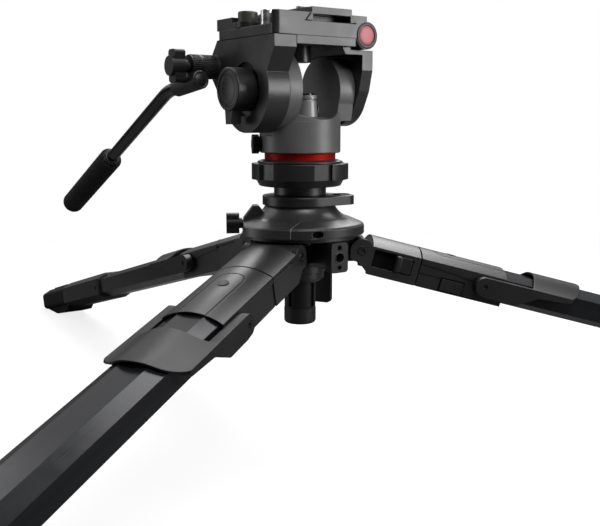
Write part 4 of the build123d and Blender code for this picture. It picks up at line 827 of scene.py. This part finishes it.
@dataclass
class HeadTrim:
    """Trim of the head: hinge caps, knob face, plate pads, level vials, painted seam shade, saddle and
    thread.
    """

    palette: Palette
    barrel_right: float = 36.0
    barrel_front: float = -43.0
    barrel_rear: float = 43.5
    barrel_radius: float = 11.0
    barrel_rise: float = 2.7
    cap_radius: float = 7.6
    knob_face: float = -69.9
    knob_disc_radius: float = 14.2
    knob_core_radius: float = 9.4
    knob_ticks: int = 40
    tick_radius: float = 11.6
    pad_length: float = 78.0
    pad_width: float = 11.0
    pad_offset: float = 12.2
    pad_ribs: int = 7
    body_left: float = -54.0
    seam_width: float = 0.7
    seam_length: float = 20.0
    drum_radius: float = 34.2
    drum_height: float = 26.2
    saddle_half_span: float = 50.0
    saddle_rise: float = 8.5
    saddle_power: float = 2.2
    post_rear: float = -10.0
    screw_radius: float = 3.175
    screw_turns: int = 5
    screw_pitch: float = 0.95
    screw_reach: float = 5.2

    def build(self) -> None:
        """Make every piece of the head's trim."""
        self.hinge_caps()
        self.knob_disc()
        self.plate_pads()
        self.vials()
        self.body_seam_shade()
        self.saddle()
        self.post_clip()
        self.screw_thread()

    @property
    def underside(self) -> float:
        """Height of the body's flat underside, in mm."""
        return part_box("tilt_body")[0].z / MM + self.barrel_radius - self.barrel_rise

    def hinge_caps(self) -> None:
        """Plain red cap in the front of the hinge barrel, and a dark one in its back."""
        look = self.palette
        rim = self.cap_radius
        ring = [
            (10.4, 0.0), (10.2, 0.5), (9.5, 0.8), (rim + 0.6, 0.7), (rim + 0.2, 0.2), (rim + 0.2, 0.0)
        ]
        dome = [(0.0, 0.95), (3.0, 0.9), (5.6, 0.7), (rim - 0.5, 0.5), (rim, 0.15), (rim, -0.3)]
        middle = self.underside + self.barrel_rise
        for side, end, axis, cap, slot in (
            ("front", self.barrel_front, -1, look.badge, Slot.RED),
            ("rear", self.barrel_rear, 1, look.plastic, Slot.PLASTIC),
        ):
            place = facing((0, axis, 0), (self.barrel_right, end, middle))
            finish_piece(f"barrel_ring_{side}", spun(ring), place, look.casting, "tilt_head")
            finish_piece(f"barrel_cap_{side}", spun(dome), place, cap, "tilt_head")

    def knob_disc(self) -> None:
        """Disc in the tilt knob's face, with a ring of plain ticks round its middle."""
        look = self.palette
        height = JOINTS["tilt_turn"]["pos_m"][2] / MM
        core, edge = self.knob_core_radius, self.knob_disc_radius
        outline = [
            (0.0, 0.35), (core - 0.8, 0.35), (core, 0.1), (core + 0.5, 0.1), (edge - 0.6, 0.25),
            (edge, 0.0)
        ]
        place = facing((-1, 0, 0), (self.knob_face, 0, height))
        finish_piece("knob_disc", spun(outline), place, look.plastic, "tilt_lock")
        size, middle = (1.5, 0.32, 0.24), (self.tick_radius, 0, 0.3)
        ticks = join(
            turned(block(size, middle), FULL_TURN * number / self.knob_ticks)
            for number in range(self.knob_ticks)
        )
        finish_piece("knob_ticks", ticks, place, look.olive, "tilt_lock")

    def plate_pads(self) -> None:
        """Two ribbed rubber pads on the camera plate."""
        low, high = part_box("sliding_plate")
        middle = (low.y + high.y) / 2 / MM
        top = high.z / MM
        pitch = self.pad_width / (self.pad_ribs + 1)
        for side, name in ((-1, "left"), (1, "right")):
            nets = [block((self.pad_width, self.pad_length, 0.8), (0, 0, 0.3), 0.3, 3)]
            for number in range(self.pad_ribs):
                offset = (number + 1) * pitch - self.pad_width / 2
                nets.append(block((0.8, self.pad_length - 3.0, 0.7), (offset, 0, 0.75), 0.3, 3))
            place = moved((side * self.pad_offset, middle, top))
            finish_piece(f"plate_pad_{name}", join(nets), place, self.palette.rubber, "plate")

    def vials(self) -> None:
        """Ring mark and bezel under the top of each level vial."""
        dark = self.palette.knob
        profile = ((0.9, 0.0), (0.93, 0.35), (1.0, 0.5), (1.1, 0.35), (1.12, 0.0))
        for node, body in (("level_vial", "level"), ("head_level_vial", "pan_head")):
            low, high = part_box(node)
            middle = (low + high) / 2 / MM
            radius = (high.x - low.x) / 2 / MM
            place = moved((middle.x, middle.y, high.z / MM + 0.02))
            inner, outer = 0.44 * radius, 0.52 * radius
            mark = spun([(inner, 0.0), (outer, 0.0), (outer, 0.12), (inner, 0.12)], closed=True)
            finish_piece(f"{node}_mark", mark, place, dark, body)
            bezel = spun([(share * radius, height) for share, height in profile])
            finish_piece(f"{node}_bezel", bezel, place, dark, body)

    def body_seam_shade(self) -> None:
        """Painted shade: a near-black strip along the parting line between the tilt body and the cheek
        under it.
        """
        height = self.underside
        depth = self.barrel_rear - self.barrel_front
        middle = (self.barrel_rear + self.barrel_front) / 2
        start = self.body_left + self.seam_length / 2
        lines = [
            block((STRIP, depth, self.seam_width), (self.body_left, middle, height)),
            block((self.seam_length, STRIP, self.seam_width), (start, self.barrel_front, height)),
        ]
        # The near-black strips paint the shade of the parting line.
        finish_piece("body_seam_shade", join(lines), Matrix(), self.palette.gap, "tilt_head")

    def saddle(self) -> None:
        """Lip round the front and the back of the pan drum that climbs toward the ears."""
        top = JOINTS["pan_turn"]["pos_m"][2] / MM + self.drum_height
        span = math.radians(2 * self.saddle_half_span)
        outer = self.drum_radius
        outline = [
            (outer - 8.0, -0.5), (outer - 0.02, -0.5), (outer - 0.02, 0.9), (outer - 0.6, 1.5),
            (outer - 2.0, 1.5)
        ]
        for middle, name in ((270.0, "front"), (90.0, "rear")):
            net = spun(outline, 40, closed=True, turn=span)
            for vert in net.verts:
                if vert.co.z > 0:
                    share = math.atan2(vert.co.y, vert.co.x) / span * 2 - 1
                    vert.co.z += self.saddle_rise * MM * abs(share) ** self.saddle_power
            turn = Matrix.Rotation(math.radians(middle - self.saddle_half_span), 4, "Z")
            place = moved((0, 0, top)) @ turn
            finish_piece(f"pan_saddle_{name}", net, place, self.palette.drum, "pan_head")

    def post_clip(self) -> None:
        """Small bracket beside the head's level post."""
        low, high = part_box("head_level_post")
        foot = low.z / MM
        side = high.x / MM
        clip = block((1.6, 5.0, 11.0), (side + 1.2, self.post_rear, foot + 5.0), 0.4, 3)
        hook = block((4.0, 5.0, 1.4), (side, self.post_rear, foot + 10.2), 0.4, 3)
        finish_piece("post_clip", join([clip, hook]), Matrix(), self.palette.plastic, "pan_head")

    def screw_thread(self) -> None:
        """Thread ridges on the camera screw."""
        low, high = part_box("camera_screw")
        root, crest = self.screw_radius - 0.1, self.screw_radius + 0.12
        ridges = []
        for number in range(self.screw_turns):
            base = 0.3 + number * self.screw_pitch
            ridges += [(root, base), (crest, base + 0.45)]
        ridges.append((root, 0.3 + self.screw_turns * self.screw_pitch))
        middle = (low + high) / 2 / MM
        place = moved((middle.x, middle.y, high.z / MM - self.screw_reach))
        finish_piece("screw_thread", spun(ridges, 40), place, self.palette.steel, "screw")


@dataclass
class HandleTrim:
    """Toothed rosette, socket cap and grip ends of the pan handle."""

    palette: Palette
    rosette_radius: float = 9.6
    rosette_ribs: int = 36
    boss_ribs: Point = (-12.5, -1.0)
    clamp_ribs: Point = (1.0, 9.2)
    plane: float = -77.2
    socket_start: Point = (31.0, 8.2)
    droop: float = 7.5
    slope: float = 25.8
    bend_reach: float = 58.0
    length: float = 272.0
    grip_length: float = 128.0

    def build(self) -> None:
        """Make every piece of the handle's trim."""
        pivot = Vector(JOINTS["handle_pivot"]["pos_m"]) / MM
        place = facing((-1, 0, 0), pivot)
        for span, body, name in (
            (self.boss_ribs, "tilt_head", "rosette_boss_ribs"),
            (self.clamp_ribs, "handle", "rosette_clamp_ribs"),
        ):
            finish_piece(name, self.ribs(span), place, self.palette.knob, body)
        self.ends()

    def ribs(self, span: Point) -> Net:
        """Make the ribs round the rosette.

        Args:
            span: Where they start and end along its axis, in mm.

        Returns:
            The ribs, standing round the Z axis.
        """
        size = (0.8, 0.8, span[1] - span[0])
        middle = (self.rosette_radius, 0, sum(span) / 2)
        return join(
            turned(block(size, middle, 0.25, 2), FULL_TURN * number / self.rosette_ribs)
            for number in range(self.rosette_ribs)
        )

    def ends(self) -> None:
        """Cap of the rod's socket, and the collar and the plug of the grip."""
        look = self.palette
        axis_height = JOINTS["tilt_turn"]["pos_m"][2] / MM
        droop, slope = math.radians(self.droop), math.radians(self.slope)
        reach, rise = self.socket_start
        start = Vector((self.plane, reach, axis_height + rise))
        bend = start + Vector((0, self.bend_reach, -self.bend_reach * math.tan(droop)))
        along = Vector((0, math.cos(slope), -math.sin(slope)))
        backward = (0, -math.cos(droop), math.sin(droop))
        cap = [(0.0, 0.9), (4.4, 0.9), (5.0, 0.5), (5.6, 0.5), (6.4, 1.1), (7.1, 0.8), (7.4, 0.0)]
        place = facing(backward, start)
        finish_piece("socket_cap", spun(cap), place, look.plastic, "handle")
        collar = [(5.65, -5.0), (7.4, -5.0), (8.2, -4.2), (8.6, 0.6), (5.65, 0.6)]
        net = spun(collar, closed=True)
        place = facing(along, bend + along * (self.length - self.grip_length))
        finish_piece("grip_collar", net, place, look.plastic, "handle")
        plug = [(0.0, 0.5), (2.6, 0.5), (3.4, 0.2), (3.6, -0.4)]
        place = facing(along, bend + along * self.length)
        finish_piece("grip_plug", spun(plug), place, look.rubber, "handle")


@dataclass
class CrownTrim:
    """Raised blank panel on the front of the crown cover, and the accessory thread's lining."""

    palette: Palette
    middle: float = 270.0
    half_span: float = 43.5
    top_half_span: float = 34.5
    proud: float = 0.7
    line_span: float = 0.8
    rim_radius: float = 54.5
    rim_height: float = 8.4
    chamfer: float = 1.0
    slope_radius: float = 43.0
    slope_rise: float = 4.5
    slot_azimuth: float = 250.0
    slot_length: float = 9.3
    slot_height: float = 6.2
    thread_radius: float = 4.0
    thread_turns: int = 6
    thread_pitch: float = 1.2

    def build(self) -> None:
        """Make the panel, the painted highlight lines along its ends, and the lining."""
        self.panel()
        self.painted_highlight_lines()
        self.thread()

    def thread(self) -> None:
        """Dark ring and thread ridges in the accessory plate's hole."""
        low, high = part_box("accessory_plate")
        bore = self.thread_radius
        ridges = [(bore + 1.0, 0.0), (bore + 0.9, 0.25), (bore, 0.25)]
        for number in range(self.thread_turns):
            base = -0.4 - number * self.thread_pitch
            ridges += [(bore - 0.05, base), (bore - 0.4, base - 0.6)]
        middle = (low + high) / 2 / MM
        place = facing((0, -1, 0), (middle.x, low.y / MM, middle.z))
        lining = spun(ridges, 40)
        finish_piece("accessory_lining", lining, place, self.palette.blackened, "crown")

    def panel(self) -> None:
        """Make the panel, with a way through to the rim's slot."""
        low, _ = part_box("crown_cover")
        rim, slope, out = self.rim_radius, self.slope_radius, self.proud
        top = self.rim_height
        crest = top + self.slope_rise
        outline = [
            (rim - 0.2, 0.6), (rim + out, 0.8), (rim + out, top - self.chamfer),
            (rim - self.chamfer + 0.3, top + out), (slope + 0.2, crest + out),
            (slope - 0.4, crest - 0.3), (rim - 2.0, top - 0.6)
        ]
        net = spun(outline, 48, closed=True, turn=math.radians(2 * self.half_span))
        self.slant_ends(net)
        size = (self.slot_length, self.slot_height, 20.0)
        drill = block(size, (0, 0, 0), 0.48 * self.slot_height, 8)
        turn = math.radians(self.slot_azimuth)
        outward = (math.cos(turn), math.sin(turn), 0)
        mouth = (rim * outward[0], rim * outward[1], top / 2)
        bmesh.ops.transform(drill, matrix=facing(outward, mouth), verts=drill.verts)
        place = Matrix.Translation((0, 0, low.z))
        net = carve(net, drill)
        finish_piece("crown_panel", net, place, self.palette.panel, "crown", crease=25.0)

    def painted_highlight_lines(self) -> None:
        """Make the painted highlight: a light grey line along each slanted end of the panel."""
        low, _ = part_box("crown_cover")
        rim, top = self.rim_radius, self.rim_height
        out = self.proud + 0.12
        rise = [
            (rim + out, 0.9), (rim + out, top - self.chamfer), (rim - self.chamfer + 0.4, top + out),
            (self.slope_radius + 0.3, top + self.slope_rise + out)
        ]
        lines = []
        for start in (0.0, 2 * self.half_span - self.line_span):
            line = spun(rise, steps=1, turn=math.radians(self.line_span))
            self.slant_ends(turned(line, math.radians(start)))
            lines.append(line)
        place = Matrix.Translation((0, 0, low.z))
        # Light grey strips paint the edge highlight along the panel's ends.
        finish_piece("panel_painted_highlights", join(lines), place, self.palette.post, "crown")

    def slant_ends(self, net: Net) -> None:
        """Draw the panel's ends in as it climbs the slope, and turn it to the front.

        Args:
            net: The panel, turned from azimuth 0.
        """
        slope = (self.rim_radius - self.slope_radius) * MM
        for vert in net.verts:
            radius = math.hypot(vert.co.x, vert.co.y)
            climb = min(1.0, max(0.0, (self.rim_radius * MM - radius) / slope))
            share = 1 + climb * (self.top_half_span / self.half_span - 1)
            angle = math.atan2(vert.co.y, vert.co.x) - math.radians(self.half_span)
            azimuth = math.radians(self.middle) + angle * share
            vert.co.x = radius * math.cos(azimuth)
            vert.co.y = radius * math.sin(azimuth)


@dataclass
class LegTrim:
    """Screw heads, cap, seam of painted shade, window lining of painted shade, selector thumb and foot
    ribs of one leg.
    """

    palette: Palette
    number: int
    pivot_reach: float = 109.0
    pivot_height: float = -4.0
    lever_half_width: float = 33.0
    shoulder_half_width: float = 24.5
    crown: float = 13.0
    side_top: float = 6.0
    bottom: float = -18.2
    seam_span: Point = (51.05, 52.35)
    seam_inset: float = 0.6
    window: tuple[float, float, float, float] = (10.7, 45.3, -10.8, 3.8)
    window_floor: float = -20.0
    selector_face: float = -25.7
    thumb_reach: float = 32.6
    side_face: float = -23.7
    tab: tuple[float, float, float, float] = (73.0, 93.0, -16.5, -6.5)
    side_line: Point = (52.8, 71.8)
    cap_reach: float = 82.0
    cap_radius: float = 4.6
    collar_screw_reach: float = 372.0
    tube_middle: float = -3.1
    collar_half_width: float = 24.1
    foot_top: float = 12.4
    foot_rib_start: float = 505.0
    foot_ribs: int = 7
    foot_rib_pitch: float = 8.0

    @property
    def prefix(self) -> str:
        """Start of the names of the leg's pieces and bodies."""
        return f"leg_{self.number}"

    @property
    def place(self) -> Matrix:
        """The leg's own frame at its hinge.

        Returns:
            Its matrix, with X along the leg, Y across it and Z up from its top.
        """
        hinge = JOINTS[f"{self.prefix}_spread"]
        along = Vector(JOINTS[f"{self.prefix}_middle_slide"]["axis"])
        across = -Vector(hinge["axis"])
        turn = Matrix((along, across, along.cross(across))).transposed().to_4x4()
        return Matrix.Translation(Vector(hinge["pos_m"])) @ turn

    def build(self) -> None:
        """Make the leg's small pieces."""
        look, leg, place = self.palette, self.prefix, self.place
        for side, name in ((-1, "right"), (1, "left")):
            self.screws(side, name)
        outline = [
            (0.0, 0.35), (3.4, 0.35), (3.7, 0.1), (4.1, 0.1), (4.4, 0.3), (self.cap_radius, -0.2)
        ]
        seat = place @ moved((self.cap_reach, 0, self.crown - 0.05))
        finish_piece(f"{leg}_cap", spun(outline), seat, look.knob, leg)
        # Painted shade: a near-black ribbon in the gap between the shoulder and the housing.
        finish_piece(f"{leg}_seam", self.seam(), place, look.gap, leg)
        self.selector()
        rows = [self.foot_rib_start + row * self.foot_rib_pitch for row in range(self.foot_ribs)]
        ribs = join(block((2.6, 25.0, 1.6), (row, 0, self.foot_top), 0.6, 3) for row in rows)
        finish_piece(f"{leg}_foot_ribs", ribs, place, look.rubber, f"{leg}_inner")

    def seam(self) -> Net:
        """Make the near-black ribbon of painted shade that lies in the gap between the shoulder and
        the housing.

        Returns:
            The ribbon, up one side, over the arched top and down the other.
        """
        half = self.shoulder_half_width - self.seam_inset
        rise = self.crown - self.side_top
        radius = (half ** 2 + rise ** 2) / (2 * rise)
        reach = math.asin(half / radius)
        angles = [reach * (step / 10 - 1) for step in range(21)]
        top = self.crown - self.seam_inset
        arch = [(radius * math.sin(turn), top - radius * (1 - math.cos(turn))) for turn in angles]
        low = self.bottom + self.seam_inset
        start, end = self.seam_span
        path = ((-half, low), *arch, (half, low))
        net = bmesh.new()
        row = [net.verts.new(Vector((start, y, z)) * MM) for y, z in path]
        edges = [net.edges.new(pair) for pair in zip(row, row[1:])]
        ribbon = bmesh.ops.extrude_edge_only(net, edges=edges)["geom"]
        far = [part for part in ribbon if isinstance(part, bmesh.types.BMVert)]
        bmesh.ops.translate(net, vec=((end - start) * MM, 0, 0), verts=far)
        bmesh.ops.recalc_face_normals(net, faces=net.faces)
        return net

    def selector(self) -> None:
        """Make the window's lining of painted shade, the angle selector's thumb, and the lines of
        painted shade round the side tab and along the side.
        """
        look, leg, place = self.palette, self.prefix, self.place
        start, end, low, high = self.window
        height = (low + high) / 2
        middle = ((start + end) / 2, self.window_floor - 0.1, height)
        # Painted shade: a near-black sheet on the window's floor, where the recess sits in shade.
        lining = block((end - start, 0.24, high - low), middle)
        finish_piece(f"{leg}_window_painted_shade", lining, place, look.gap, leg)
        seat = (self.thumb_reach, self.selector_face - 0.6, height)
        thumb = block((5.4, 3.2, 0.94 * (high - low)), seat, 1.5, 3)
        finish_piece(f"{leg}_selector_thumb", thumb, place, look.plastic, f"{leg}_angle")
        left, right, base, top = self.tab
        wide = (right - left + 1.6, STRIP, 0.8)
        tall = (0.8, STRIP, top - base + 1.6)
        across, up = (left + right) / 2, (base + top) / 2
        face = self.side_face + 0.3
        # Painted shade: near-black strips in the grooves round the side tab and along the side.
        lines = [block(wide, (across, face, edge)) for edge in (base - 0.5, top + 0.5)]
        lines += [block(tall, (edge, face, up)) for edge in (left - 0.5, right + 0.5)]
        start, end = self.side_line
        lines.append(block((end - start, STRIP, 0.7), ((start + end) / 2, self.side_face, top)))
        finish_piece(f"{leg}_side_painted_shade", join(lines), place, look.gap, leg)

    def screws(self, side: int, name: str) -> None:
        """Make the heads on one side of the leg.

        Args:
            side: 1 for the leg's left, -1 for its right.
            name: Word for the side.
        """
        leg = self.prefix
        pivot = (self.pivot_reach, self.lever_half_width - 1.7, self.pivot_height)
        hinge = (0, self.shoulder_half_width - 0.3, 0)
        collar = (self.collar_screw_reach, self.collar_half_width - 0.1, self.tube_middle)
        for label, (reach, width, height), sizes, body in (
            ("pivot_screw", pivot, (2.1, 1.0, 1.1, 0.8), f"{leg}_lock"),
            ("hinge_head", hinge, (4.0, 0.8, 2.2, 0.7), leg),
            ("collar_screw", collar, (2.8, 0.9, 1.5, 0.8), leg),
        ):
            seat = self.place @ facing((0, side, 0), (reach, side * width, height))
            dark = self.palette.blackened
            finish_piece(f"{leg}_{label}_{name}", hex_head(*sizes), seat, dark, body)


def dress_frame(palette: Palette) -> None:
    """Give every node of the frame its finish.

    Args:
        palette: The finishes.
    """
    dress(["crown_cover"], palette.cover)
    dress(["column_guide_bush", "level_ring", "tilt_lock_knob"], palette.plastic)
    dress(["quick_release_ring", "plate_lock_lever"], palette.plastic)
    dress(["crown_casting", "rear_hanger_plate", "quick_release_base"], palette.casting)
    dress(["accessory_plate", "column_end_cap", "handle_clamp"], palette.knob)
    dress(["column_lock_knob", "pan_lock_knob", "rosette_knob"], palette.knob)
    dress(["tilt_body", "left_cheek", "right_arm", "sliding_plate"], palette.head)
    dress(["pan_housing"], palette.drum)
    dress(["head_level_post"], palette.post)
    dress(["crown_screws", "leg_hinge_pins"], palette.blackened)
    dress(["tilt_stub_shafts", "camera_screw"], palette.steel)
    dress(["level_vial"], palette.glass)
    dress(["head_level_vial"], palette.smoked)
    dress(["centre_column"], palette.column)
    dress(["red_base_ring"], palette.red)
    dress(["lever_hub"], palette.olive)
    dress(["trigger_pin"], palette.bright)
    dress(["handle_rod"], palette.rod)
    dress(["handle_grip"], palette.foam)
    for number, tube in zip(LEGS, palette.tubes):
        leg = f"leg_{number}_"
        dress([leg + "shoulder"], palette.casting)
        dress([leg + "housing"], palette.plastic)
        dress([leg + "lever"], palette.lever)
        dress([leg + "lower_collar", leg + "selector"], palette.knob)
        dress([leg + "outer_tube", leg + "middle_tube", leg + "inner_tube"], tube)
        dress([leg + "foot"], palette.rubber)


def main() -> None:
    """Build the looks piece by piece."""
    logging.basicConfig(level=logging.INFO)
    palette = Palette()
    Studio().build()
    dress_frame(palette)
    HeadTrim(palette).build()
    HandleTrim(palette).build()
    CrownTrim(palette).build()
    for number in LEGS:
        LegTrim(palette, number).build()


if __name__ == "__main__":
    main()
